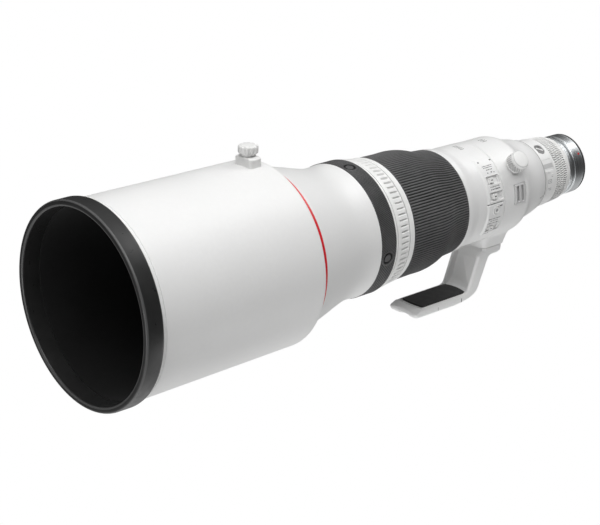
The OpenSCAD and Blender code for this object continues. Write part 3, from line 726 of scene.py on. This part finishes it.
def grip_disp(R, Y, F):
    w = step01(Y, -282.4, -281.2) * (1 - step01(Y, -201.2, -200.3)) * (R > 53.6)
    inside = (Y > -245) & (R < 60.9) & (R < 52.46 + 0.0)
    w = np.where(inside, 0, w)
    # inner wall points lie well under the outer curve
    out_r = np.interp(Y, fo[:, 1], fo[:, 0])
    w = np.where(R < out_r - 1.0, 0, w)
    return R - 1.1 * ridge(F) * w


# painted shade and light: the grooves take the near-black groove colour and the crests the lighter grip colour
def grip_groove_shade(R, Y, F):
    return 1 - ridge(F)


finish_piece(revolve("focus_grip_ridged", fg, phis=phis, disp=grip_disp, sharp=60, crest=grip_groove_shade), "focus_ring", "grip_rubber", ["focus_grip"])

# ------------------------------------------------------------------ switch housing and panels
ho = spline([[53.75, -198.6], [53.6, -194], [52.4, -188], [51.55, -182], [51.4, -166], [51.1, -145.8]], 1.5)
hp = np.vstack([[[47.5, -198.9], [53.4, -198.9], [53.65, -198.8]], ho, [[50.7, -145.6], [50.3, -145.35], [47.5, -145.3]]])
hp = densify(hp, 0.8)


def housing_disp(R, Y, F):
    a = np.degrees(F)
    inside = (a > 31.6) & (a < 125.4) & (Y > -171.0) & (Y < -148.2) & (R > 50)
    return np.where(inside, 49.2, R)


finish_piece(revolve("switch_housing_skin", hp, 720, disp=housing_disp), "barrel", "white_paint", ["switch_housing"])


def rrect(u, v, hu, hv, r):
    """Distance to a rounded rectangle."""
    qu, qv = np.abs(u) - hu + r, np.abs(v) - hv + r
    return np.hypot(np.maximum(qu, 0), np.maximum(qv, 0)) + np.minimum(np.maximum(qu, qv), 0) - r


def panel(name, p1, p2, windows, holes, nodes):
    step = 0.26
    nphi = int(math.radians(p2 - p1) * 52.6 / step)
    a = np.linspace(p1, p2, nphi)
    y = np.linspace(-171.5, -147.7, 92)
    A, Yg = np.meshgrid(a, y, indexing="ij")
    R = 52.55 - 1.35 * (1 - step01(Yg, -171.5, -168.3))
    edge = np.minimum.reduce([np.radians(A - p1) * 52.6, np.radians(p2 - A) * 52.6, -147.7 - Yg])
    R = R - 0.6 * (1 - step01(edge, 0, 0.8))
    for ph in windows:
        u, v = np.radians(A - ph) * 52.6, Yg + 157.5 + 0.2
        frame = rrect(u, v, 4.35, 9.5, 1.1)
        R = R + 0.16 * np.exp(-((frame - 0.45) / 0.4) ** 2)
        R = np.where(frame < 0, 50.95, R)
        R = np.where(rrect(u, v - 0.2, 3.15, 7.05, 0.5) < 0, 49.75, R)
    for ph, yy, rad in holes:
        u, v = np.radians(A - ph) * 52.6, Yg - yy
        dd = np.hypot(u, v)
        R = R + 0.45 * np.exp(-((dd - rad - 0.7) / 0.45) ** 2)
        R = np.where(dd < rad, 49.75, R)
    top = np.stack([R * np.sin(np.radians(A)), Yg, R * np.cos(np.radians(A))], -1)
    Rb = np.full_like(R, 49.6)
    low = np.stack([Rb * np.sin(np.radians(A)), Yg, Rb * np.cos(np.radians(A))], -1)
    ni, nj = A.shape
    V = np.vstack([top.reshape(-1, 3), low.reshape(-1, 3)])
    q = grid_faces(ni, nj, False, False)
    m = ni * nj
    ring = np.concatenate([np.arange(nj), np.arange(1, ni) * nj + nj - 1, (ni - 1) * nj + np.arange(nj - 2, -1, -1), np.arange(ni - 2, 0, -1) * nj])
    nxt = np.roll(ring, -1)
    side = np.stack([ring, ring + m, nxt + m, nxt], 1)
    Q = np.vstack([q[:, ::-1], q + m, side[:, ::-1]])
    o = build(name, V, Q, sharp=35)
    bm_fix(o)
    return finish_piece(o, "barrel", "white_paint", nodes)


def bm_fix(o):
    """Consistent outward normals."""
    import bmesh
    bm = bmesh.new()
    bm.from_mesh(o.data)
    bmesh.ops.recalc_face_normals(bm, faces=bm.faces)
    bm.to_mesh(o.data)
    bm.free()


panel("switch_panel_top", 31.1, 84.9, [59.3, 77.3], [], ["switch_panel_upper"])
panel("switch_panel_side", 85.9, 125.9, [116], [(93.5, -158.0, 4.05)], ["switch_panel_lower"])

# ------------------------------------------------------------------ tripod collar
cp = spline([[50.75, -144.2], [50.6, -128], [50.7, -112], [49.6, -107], [47.5, -103], [44.6, -95.5], [42.7, -87.5], [41.1, -79], [38.3, -69.6]], 0.7)
cfront = np.array([[45.9, -144.6], [50.0, -144.6], [50.5, -144.4]])
cback = np.array([[37.95, -68.5], [37.5, -68], [36.8, -68], [36.8, -99.7], [45.9, -99.7]])
cpts = np.vstack([cfront, cp, cback])


def collar_disp(R, Y, F):
    a = F
    outer_band = np.zeros(R.shape, bool)
    outer_band[1:len(cfront) + len(cp) + 1] = True
    s, c = np.sin(a), np.cos(a)
    # pedestal down to the foot: rays leave through its bottom, its sides or its sloped ends
    big = 1e3
    z0 = 59.2
    bottom = np.where(-c > 0.05, z0 / np.maximum(-c, 0.05), big)
    wid = 19.0 + 6.0 * 0.9
    lam = np.where(np.abs(s) > 1e-6, 1, 1)
    # side plane from (19, -59.4) to (26.5, -42): n . p = k
    nx, nz = 17.4, -7.5
    ln = math.hypot(nx, nz)
    nx, nz = nx / ln, nz / ln
    kk = nx * 19.0 + nz * (-59.4)
    den = nx * np.abs(s) + nz * c
    side = np.where(den > 0.02, kk / np.maximum(den, 0.02), big)
    ped = np.minimum(bottom, side)
    ped = np.where(-c > 0.2, ped, 0)
    # the bottom edge is bowed at the front and the foot meets it there; behind, it runs out up the taper
    xb = np.clip(ped * s, -19, 19)
    yf = -142.4 + 0.0205 * xb * xb
    t = np.clip((yf - Y) / (yf + 145.6), 0, 1)
    base = np.where(outer_band, R, 0)
    ped = np.where(Y < yf, ped - (ped - 51.0) * t ** 1.8, ped)
    rear = np.where(Y > -110.8, (Y + 110.8) * 1.5, 0)
    ped = ped - rear
    k = 3.2
    h = np.clip(0.5 + 0.5 * (ped - R) / k, 0, 1)
    blend = R * (1 - h) + ped * h + k * h * (1 - h)
    lim = np.where(-c > 0.3, bottom, big)
    blend = np.minimum(blend, lim)
    R2 = np.where(outer_band & (-c > 0.15), np.maximum(R, blend), R)
    # seat of each strap lug
    for p in (83, 263):
        u = ((a - math.radians(p) + math.pi) % TAU - math.pi) * 50.7
        ins = (np.abs(u) < 10.2) & (np.abs(Y + 121.5) < 8.4) & outer_band
        R2 = np.where(ins, 48.0, R2)
    # round boss under the lock knob
    u = ((a - math.radians(49.5) + math.pi) % TAU - math.pi) * 51
    dd = np.hypot(u, Y + 123.5)
    R2 = np.where(outer_band, R2 + 0.75 * (1 - step01(dd, 7.9, 9.6)), R2)
    return R2


finish_piece(revolve("collar_skin", cpts, 900, disp=collar_disp, sharp=45), "collar", "white_paint", ["collar_ring"])

# strap lugs
X, Y, Z, o0 = axes((-11, -9, 0), (11, 9, 4.8), 0.26)
d = sd_rbox(X, Y, Z - 0.6, 9.95, 7.6, 3.5, 1.9)
d = np.maximum(d, -Z)
d = smax(d, Z - (4.1 - 0.009 * X * X), 0.8)
for yy in (-3.7, 2.9):
    d = smax(d, -sd_rbox(X, Y - yy, Z - 4.2, 8.1, 1.75, 4.0, 0.9), 0.4)
d = smax(d, -sd_rbox(X, Y, Z - 1.8, 7.7, 4.4, 0.6, 0.4), 0.3)
V, Q = net(d, o0, 0.26)
V2 = place(V, 263, -122, 48.1)
V1 = place(V, 83, -122, 48.1)
Vj, Qj, _ = join([(V1, Q, None), (V2, Q, None)])
finish_piece(build("strap_lug_pair", Vj, Qj, sharp=50), "collar", "lug_grey", ["strap_lugs"])

# collar lock knob with a knurled side and a domed cap
cn = 320
kz = np.linspace(54.9, 62.4, 23)
kpts = [[0, 48.75], [3, 48.75], [3, 51.7], [7.0, 51.9], [7.2, 52.1], [7.2, 52.8], [9.3, 53.0], [9.8, 53.25], [9.95, 53.6], [9.95, 54.3], [10.05, 54.6]] + [[10.2, z] for z in kz] + \
       [[10.0, 62.6], [9.75, 62.75], [9.75, 63.0], [10.05, 63.15], [10.12, 63.4], [10.1, 64.4], [10.0, 64.9], [9.75, 65.3], [9.55, 65.55], [9.35, 65.6], [9.2, 65.45], [9.0, 65.5], [8.9, 65.8],
        [8.6, 66.1], [7.9, 66.35], [6.0, 66.6], [4.0, 66.78], [2.0, 66.88], [0, 66.9]]


def knob_disp(R, Z, T):
    n = 26
    a = np.abs(((T * n / TAU + Z * n / (TAU * 10.2)) % 1.0) - 0.5) * 2
    b = np.abs(((T * n / TAU - Z * n / (TAU * 10.2)) % 1.0) - 0.5) * 2
    g = np.maximum(step01(a, 0.4, 0.95), step01(b, 0.4, 0.95))
    return np.where(R > 10.15, R - 0.75 * g * step01(Z, 54.9, 55.5) * (1 - step01(Z, 61.9, 62.4)), R)


V, Q, T = lathe(kpts, cn, knob_disp)
# painted shade: the knurl grooves, the groove under the cap's edge and a ring on the cap's bevel take the darker groove
# grey
rho = np.hypot(V[:, 0], V[:, 1])
low = (V[:, 2] > 54.7) & (V[:, 2] < 62.6)
tone = np.where(low, 1 - np.clip((10.2 - rho) / 0.7, 0, 1), 1.0)
tone = np.where((V[:, 2] > 62.5) & (V[:, 2] < 63.1) & (rho < 9.9), 0.35, tone)
tone = np.where((rho > 8.8) & (rho < 9.4) & (V[:, 2] > 65.3), 0.45, tone)
V = place(V, 49.5, -123.5)
finish_piece(build("collar_knob_knurled", V, Q, T, sharp=32, crest=tone), "lock_knob", "ring_white_groove_shaded", ["collar_knob"])

# ------------------------------------------------------------------ tripod foot
foot_poly = [[-142.6, -54], [-110.6, -54], [-110.8, -64.0], [-112.0, -66.8], [-115.6, -68.3], [-126.0, -68.8], [-129.0, -70.4], [-131.2, -74.5],
             [-142.6, -100.4], [-145.4, -104.6], [-149.5, -107.4], [-155, -109.4], [-161, -110.8], [-169, -111.9], [-177, -112.5], [-229.8, -112.5], [-233.2, -111.4], [-235, -108.4],
             [-234.9, -105.2], [-233.2, -102.5], [-230.4, -101.5], [-227.4, -102.1], [-224.6, -103.3], [-221, -103.0], [-163.5, -103.0], [-159.2, -101.0], [-157.2, -97.0], [-147.4, -72]]
h = 0.42
X, Y, Z, o0 = axes((-19, -235, -112.5), (19, -110.4, -59.4), h)
d2 = sd_poly(Y[0, :, :] + 0 * Z[0, :, :], Z[0, :, :] + 0 * Y[0, :, :], foot_poly)[None, :, :]
body = extrude(d2, X, 19.0, 3.0)
# channel in the front of the neck, with one wide and one narrow flange
chan = [[-170, -50], [-141.0, -50], [-139.6, -64], [-141.2, -72], [-153.4, -101.0], [-155.6, -103.0], [-175, -103.0]]
c2 = sd_poly(Y[0, :, :] + 0 * Z[0, :, :], Z[0, :, :] + 0 * Y[0, :, :], chan)[None, :, :]
# the channel floor is two facets that fall away either side of a ridge
over = X - 12.0 + (Z + 98) * 0.74
c2 = c2 - 0.10 * np.maximum(over, 0) * step01(Z, -103, -92) - 0.13 * np.maximum(-over, 0) * step01(Z, -104, -96)
cut = extrude(c2, X, 15.2, 1.0)
body = smax(body, -cut, 1.1)
# bowed front edge where the neck meets the collar
body = smax(body, (-142.5 + 0.0205 * X * X) - Y + np.minimum(0, Z + 62.5) * 2.2, 0.8)
# finger scoop under the lip, pad bed, flat top
scoop = np.sqrt((X - 3.4) ** 2 + (Z + 118.6) ** 2) - 8.4
scoop = np.maximum(scoop, Y + 221 + (Z + 112.5) * 0.5)
body = smax(body, -scoop, 2.4)
bed = extrude(np.maximum(np.abs(Y + 189.9) - 33.1, -(Z + 104.3)) + 0 * X, X, 15.7, 0.4)
body = np.maximum(body, -bed)
body = smax(body, -sd_rbox(X, Y + 225.4 - 0.006 * X * X, Z + 103.4, 9.0, 0.45, 1.1, 0.3), 0.3)
body = smax(body, Z + 59.65, 0.5)
for yy, rr_ in ((-185, 7.0), (-207, 5.4)):
    hole = np.maximum(np.sqrt(X * X + (Y - yy) ** 2) - rr_, Z + 104.9)
    body = np.maximum(body, -hole)
for xx in (-12, 12):
    hole = np.maximum(np.sqrt((X - xx) ** 2 + (Y + 119) ** 2) - 3.4, Z + 64.4)
    body = np.maximum(body, -hole)
V, Q = net(body, o0, h)
foot = build("tripod_foot_cast", V, Q, sharp=42)
# painted light: the foot takes a lighter copy of the white paint
finish_piece(foot, "collar", "foot_white_painted_light", ["tripod_foot"])

# index lines on the side of the foot
def box(x0, x1, y0, y1, z0, z1):
    V = np.array([[x, y, z] for x in (x0, x1) for y in (y0, y1) for z in (z0, z1)], float)
    return V, np.array([[0, 1, 3, 2], [4, 6, 7, 5], [0, 4, 5, 1], [2, 3, 7, 6], [0, 2, 6, 4], [1, 5, 7, 3]]), None


for label, yy, z0, z1, half, mat in (("main", -168.1, -110.3, -106.2, 0.42, "mark_grey"), ("second", -202.0, -110.6, -107.0, 0.32, "line_grey")):
    Vb, Qb, _ = box(18.7, 19.04, yy - half, yy + half, z0, z1)
    ob = build("foot_line_" + label, Vb, Qb, sharp=30)
    bm_fix(ob)
    finish_piece(ob, "collar", mat)

# rubber pad with bowed ends
X, Y, Z, o0 = axes((-16, -223, -104), (16, -156.4, -101.0), 0.4)
rear_arc = Y + 157.1 + 0.009 * X * X
front_arc = -(Y + 222.6) + 0.009 * X * X
flat = smax(smax(rear_arc, front_arc, 2.0), np.abs(X) - 15.45, 2.5)
padd = smax(np.maximum(flat, -(Z + 103.9)), Z + 101.75 + 0.0028 * X * X, 0.7)
V, Q = net(padd, o0, 0.4)
finish_piece(build("foot_pad_rubber", V, Q, sharp=50, crest=np.full(len(V), 0.8)), "collar", "pad_rubber", ["foot_pad"])

# ------------------------------------------------------------------ control ring with three staggered rows of short grooves
co = spline([[35.55, -49.6], [35.0, -40], [34.3, -31], [33.4, -26.4], [33.0, -25.1]], 0.42)
cr = np.vstack([[[31.9, -50.4], [35.1, -50.4], [35.4, -50.2]], co, [[32.7, -24.6], [32.4, -24.5], [31.9, -24.5]]])
CN = 92


def control_disp(R, Y, F):
    g = np.zeros(R.shape)
    for row, (y1, y2) in enumerate(((-48.8, -42.9), (-43.2, -37.2), (-37.5, -31.0))):
        f = (F / TAU * CN + (0.5 if row == 1 else 0.0)) % 1.0
        f = np.where(f > 0.5, f - 1, f)
        w = step01(Y, y1, y1 + 0.7) * (1 - step01(Y, y2 - 0.7, y2))
        g = np.maximum(g, np.cos(np.clip(np.abs(f) / 0.34, 0, 1) * math.pi / 2) * w)
    return R - 1.15 * g * (R > 33)


# painted shade: darker the deeper the short grooves are cut
def control_groove_shade(R, Y, F):
    full = np.interp(Y, co[:, 1], co[:, 0])
    return 1 - 0.8 * np.clip((full - R) / 0.9, 0, 1) * (Y > -49) * (Y < -31)


finish_piece(revolve("control_ring_milled", cr, CN * 14, disp=control_disp, sharp=50, crest=control_groove_shade), "control", "ring_white_groove_shaded", ["control_ring"])

# ------------------------------------------------------------------ camera mount, turned with fine steps and a seal groove
mp = fillet([[27.2, -24.2], [32.2, -24.2], [32.5, -23.8], [32.4, -22.9], [32.0, -22.7], [31.95, -22.2], [32.25, -22.0], [32.15, -20.9], [31.85, -20.7], [31.8, -20.3], [32.0, -20.1], [31.75, -18.6], [31.2, -15.9],
             [30.85, -15.7], [30.85, -15.3], [31.3, -15.15], [31.9, -14.65], [31.9, -13.7], [31.7, -13.45], [31.85, -13.15], [31.8, -3.2], [31.6, -3.0], [31.6, -2.7], [31.78, -2.5], [31.7, -1.8], [30.9, -1.8], [30.9, 0],
             [30.5, 0], [30.5, -0.14], [27.5, -0.14], [27.5, 0], [27.2, 0], [27.2, -3.2], [25.4, -3.2], [25.4, -9], [27.2, -11]], 0.12, n=3)
finish_piece(revolve("mount_base_turned", densify(mp, 0.7), 384, sharp=30), "barrel", "mount_steel", ["mount_base"])


# ------------------------------------------------------------------ raised marks, bars and inserts that follow a round surface
def plate(ph, y, ht, hl, rf, lift=0.1, sink=0.25, skew=0.0, disc=False, taper=0.0, bulge=0.0):
    """Thin plate on the surface rf(y): half width ht round the axis, half length hl along it."""
    nt, nl = max(3, int(ht / 0.3) + 3), max(3, int(hl / 0.5) + 3)
    U, W = np.meshgrid(np.linspace(-1, 1, nt), np.linspace(-1, 1, nl), indexing="ij")
    if disc:
        U, W = U * np.sqrt(1 - W * W / 2), W * np.sqrt(1 - U * U / 2)
    edge = np.maximum(np.abs(U), np.abs(W))
    Yp = y + W * hl
    Rp = rf(Yp)
    A = math.radians(ph) + (U * ht * (1 - taper * W) + skew * W * hl) / Rp
    parts = []
    for dr in (lift + bulge * (1 - edge ** 2), -sink + 0 * edge):
        r = Rp + dr
        parts.append(np.stack([r * np.sin(A), Yp, r * np.cos(A)], -1).reshape(-1, 3))
    ni, nj = U.shape
    m = ni * nj
    q = grid_faces(ni, nj, False, False)
    ring = np.concatenate([np.arange(nj), np.arange(1, ni) * nj + nj - 1, (ni - 1) * nj + np.arange(nj - 2, -1, -1), np.arange(ni - 2, 0, -1) * nj])
    nxt = np.roll(ring, -1)
    return np.vstack(parts), np.vstack([q[:, ::-1], q + m, np.stack([ring, ring + m, nxt + m, nxt], 1)[:, ::-1]]), None


def group(name, parts, body, mat):
    V, Q, T = join(parts)
    o = build(name, V, Q, T, sharp=35)
    bm_fix(o)
    return finish_piece(o, body, mat)


rng = np.random.default_rng(7)
PANEL = lambda y: 52.55 - 1.35 * (1 - step01(y, -171.5, -168.3))
HOUSING = lambda y: np.interp(y, ho[:, 1], ho[:, 0])
COLLAR = lambda y: np.interp(y, cp[:, 1], cp[:, 0])


def row(ph, y0, y1, thick, rf, lift=0.06, lo=0.7, hi=1.9, gap=0.5, cross=0.35):
    """A line of short generic dashes, some with a stub across them."""
    out, y = [], y0
    while y < y1 - lo:
        n = float(rng.uniform(lo, hi))
        n = min(n, y1 - y)
        out.append(plate(ph, y + n / 2, thick * 0.22, n / 2, rf, lift))
        if rng.random() < cross:
            out.append(plate(ph, y + n / 2, thick * 0.5, 0.28, rf, lift + 0.01))
        y += n + gap
    return out


marks = [plate(36, -165.7, 0.75, 1.0, PANEL, 0.06), plate(36, -148.9, 0.75, 1.1, PANEL, 0.06)]
marks += row(42.1, -164.4, -150.4, 1.7, PANEL) + row(44.2, -164.0, -151.0, 1.5, PANEL)
marks += row(47.0, -161.6, -152.8, 1.2, PANEL) + [plate(p, q, 0.5, w, PANEL, 0.06) for p, q, w in ((50.6, -161.2, 0.7), (50.3, -156.0, 1.0), (51.0, -152.5, 0.5))]
marks += row(66.6, -164.4, -151.4, 1.5, PANEL) + row(69.3, -164.4, -151.4, 1.6, PANEL)
marks += [plate(89.2, -152.2, 0.5, 1.9, PANEL, 0.06)]
marks += row(103.0, -168.0, -150.4, 1.5, PANEL) + row(105.6, -164.6, -153.4, 1.2, PANEL) + row(108.6, -168.0, -151.4, 1.5, PANEL)
marks += row(122.9, -168.6, -161.0, 1.0, PANEL)
marks += [plate(p, -164.5, 0.36, 2.9, HOUSING, 0.06) for p in (-3.5, -0.6, 2.3, 5.2, 8.1)]
group("panel_marks", marks, "barrel", "mark_grey")
group("collar_marks", [plate(p, -127, 0.4, 3.4, COLLAR, 0.06) for p in (-3.4, 0, 3.4)] + row(107, -78.5, -71.2, 1.2, COLLAR), "collar", "mark_grey")
for ph, body in ((59.3, "range_slider"), (77.3, "mode_slider"), (116, "preset_slider")):
    V, Q, _ = plate(0, -160.1, 0.5, 1.35, lambda y: 53.25 + 0 * y, 0.07, 0.2)
    V = place(np.stack([V[:, 0], V[:, 1], V[:, 2]], 1), ph)
    o = build("slider_tick_" + body, V, Q, sharp=35)
    bm_fix(o)
    finish_piece(o, body, "mark_grey")
bt = fillet([[0, 50.75], [3.55, 50.75], [3.55, 52.9], [3.35, 53.2], [2.75, 53.2], [2.5, 52.75], [1.5, 52.6], [0, 52.55]], [0, 0.2, 0.2, 0.3, 0.3, 0.2, 0.4, 0], closed=False)
V, Q, T = lathe(densify(bt, 0.5, closed=False), 96)
finish_piece(build("preset_button_cap", place(V, 93.5, -158.0), Q, T, sharp=35), "set_button", "white_moulded", ["preset_button"])
group("preset_button_dot", [plate(93.5, -158.0, 2.1, 2.1, lambda y: 52.6 + 0 * y, 0.06, 0.2, disc=True)], "set_button", "line_grey")
group("panel_bars", [plate(82.9, -158.0, 0.75, 10.2, PANEL, 0.30, bulge=0.12)], "barrel", "white_moulded")
# grey line round the rear edge of the collar
gl = fillet([[38.6, -70.2], [38.72, -70.0], [38.22, -68.8], [37.75, -68.3], [37.3, -68.3], [37.3, -70.2]], 0.15)
finish_piece(revolve("collar_edge_line", gl, 384), "collar", "line_grey")

# six-sided window in the rear tube with a bright bar across it
hexa = np.array([[-6.4, -2.3], [-3.0, -4.8], [4.2, -4.8], [6.4, -1.1], [6.4, 1.8], [3.0, 4.8], [-4.2, 4.8], [-6.4, 1.6]])
X, Y, Z, o0 = axes((-6.8, -5.2, 33.9), (6.8, 5.2, 36), 0.16)
d2 = sd_poly(X[:, :, 0] + 0 * Y[:, :, 0], Y[:, :, 0] + 0 * X[:, :, 0], hexa)[:, :, None]
surf = np.sqrt(36.0 ** 2 - X * X)
d = smax(np.maximum(d2, 34.0 - Z), Z - (surf - 0.35), 0.3)
d = smax(d, -(np.sqrt((X + 3.4) ** 2 + (Y - 1.6) ** 2 + 0 * Z) - 1.1 + 3.0 * np.maximum(surf - 1.1 - Z, 0)), 0.1)
V, Q = net(d, o0, 0.16)
finish_piece(build("tube_window_insert", place(V, 28.5, -58), Q, sharp=40), "barrel", "insert_grey")

bv, bq, _ = plate(0, 0, 0.8, 4.1, lambda y: 35.72 + 0 * y, 0.2, 0.6, bulge=0.25)
ang = math.radians(-38)
bv = np.stack([bv[:, 0] * math.cos(ang) - bv[:, 1] * math.sin(ang), bv[:, 0] * math.sin(ang) + bv[:, 1] * math.cos(ang), bv[:, 2] - 0.006 * bv[:, 1] ** 2], 1)
o = build("tube_window_bar", place(bv, 28.5, -58), bq, sharp=40)
bm_fix(o)
finish_piece(o, "barrel", "white_moulded")

# filter drawer face: flat grey sheet painted as the shade of the finger recess, two raised bars and a small generic
# sign
TUBE = lambda y: 35.98 + 0 * y
FACE = lambda y: 37.1 + 0 * y
# painted shade: grey sheet where the finger recess lies in shadow
group("drawer_recess_shade", [plate(61.2, -59.6, 2.35, 7.0, TUBE, 0.12)], "filter_drawer", "drawer_shade_grey")
group("drawer_bars", [plate(71.2, -62.6, 0.75, 2.9, FACE, 0.35, bulge=0.3), plate(92.6, -63.4, 0.6, 2.1, FACE, 0.3, bulge=0.25), plate(75.6, -56.8, 0.5, 1.6, FACE, 0.25, bulge=0.2)], "filter_drawer", "white_moulded")
sign = [plate(84.0, -61.4, 0.3, 2.6, FACE, 0.06), plate(89.4, -61.4, 0.3, 2.6, FACE, 0.06), plate(86.7, -63.8, 1.7, 0.3, FACE, 0.06), plate(86.7, -59.0, 1.7, 0.3, FACE, 0.06),
        plate(86.7, -61.4, 0.7, 0.8, FACE, 0.06, disc=True), plate(98.6, -61.0, 0.35, 2.4, FACE, 0.06), plate(101.4, -60.2, 0.35, 1.6, FACE, 0.06), plate(79.6, -57.6, 0.3, 1.2, FACE, 0.06)]
group("drawer_sign", sign, "filter_drawer", "mark_light")

# ------------------------------------------------------------------ floor, world and lights
fl = bpy.data.meshes.new("floor")
fl.from_pydata([(-9, -9, 0), (9, -9, 0), (9, 9, 0), (-9, 9, 0)], [], [(0, 1, 2, 3)])
floor = bpy.data.objects.new("floor", fl)
floor.location = (0, -0.3, -0.85)
bpy.context.scene.collection.objects.link(floor)
fm = bpy.data.materials.new("floor_white")
fm.use_nodes = True
t = fm.node_tree
t.nodes.clear()
em = t.nodes.new("ShaderNodeEmission")
em.inputs["Color"].default_value = (1, 1, 1, 1)
em.inputs["Strength"].default_value = 1.0
out = t.nodes.new("ShaderNodeOutputMaterial")
t.links.new(em.outputs["Emission"], out.inputs["Surface"])
fl.materials.append(fm)
floor.visible_diffuse = False
floor.visible_glossy = False
floor.visible_transmission = False
floor.visible_shadow = False

world = bpy.data.worlds.new("studio")
bpy.context.scene.world = world
world.use_nodes = True
t = world.node_tree
t.nodes.clear()
w = Nodes(t)
tc = w.add("ShaderNodeTexCoord")
sep = w.add("ShaderNodeSeparateXYZ")
w.link(tc.outputs["Generated"], sep.inputs["Vector"])
ramp = w.add("ShaderNodeValToRGB")
mr = w.add("ShaderNodeMapRange")
mr.inputs["From Min"].default_value = -1
mr.inputs["From Max"].default_value = 1
w.link(sep.outputs["Z"], mr.inputs["Value"])
w.link(mr.outputs["Result"], ramp.inputs["Fac"])
els = ramp.color_ramp.elements
els[0].position, els[0].color = 0.0, (1.4, 1.4, 1.4, 1)
els[1].position, els[1].color = 1.0, (1.2, 1.2, 1.2, 1)
for p, c in ((0.15, 0.60), (0.30, 0.11), (0.43, 0.05), (0.55, 0.05), (0.675, 0.075), (0.775, 0.18), (0.85, 0.45), (0.925, 0.85)):
    e = els.new(p)
    e.color = (c, c, c, 1)
bg = w.add("ShaderNodeBackground")
w.link(ramp.outputs["Color"], bg.inputs["Color"])
bg.inputs["Strength"].default_value = 1.0
white = w.add("ShaderNodeBackground")
white.inputs["Color"].default_value = (1, 1, 1, 1)
lp = w.add("ShaderNodeLightPath")
mix = w.add("ShaderNodeMixShader")
w.link(lp.outputs["Is Camera Ray"], mix.inputs[0])
w.link(bg.outputs["Background"], mix.inputs[1])
w.link(white.outputs["Background"], mix.inputs[2])
wo = w.add("ShaderNodeOutputWorld")
w.link(mix.outputs["Shader"], wo.inputs["Surface"])


def area(name, loc, target, size, power, colour=(1, 1, 1)):
    l = bpy.data.lights.new(name, "AREA")
    l.shape = "RECTANGLE"
    l.size, l.size_y = size
    l.energy = power
    l.color = colour
    o = bpy.data.objects.new(name, l)
    o.location = loc
    d = Vector(target) - Vector(loc)
    o.rotation_mode = "QUATERNION"
    o.rotation_quaternion = d.to_track_quat("-Z", "Y")
    bpy.context.scene.collection.objects.link(o)
    return o


area("key", (0.80, -1.07, 1.75), (0, -0.3, 0), (1.6, 1.6), 26.5)
area("back_top", (0.32, 1.06, 1.6), (0, -0.2, 0), (0.9, 0.9), 10)
area("front_low", (0.25, -1.9, -0.40), (0, -0.2, -0.1), (0.8, 0.8), 6.8)
low = area("low_side", (0.34, -0.20, -0.34), (0.02, -0.18, -0.08), (0.22, 0.22), 0.42)
low.visible_camera = False
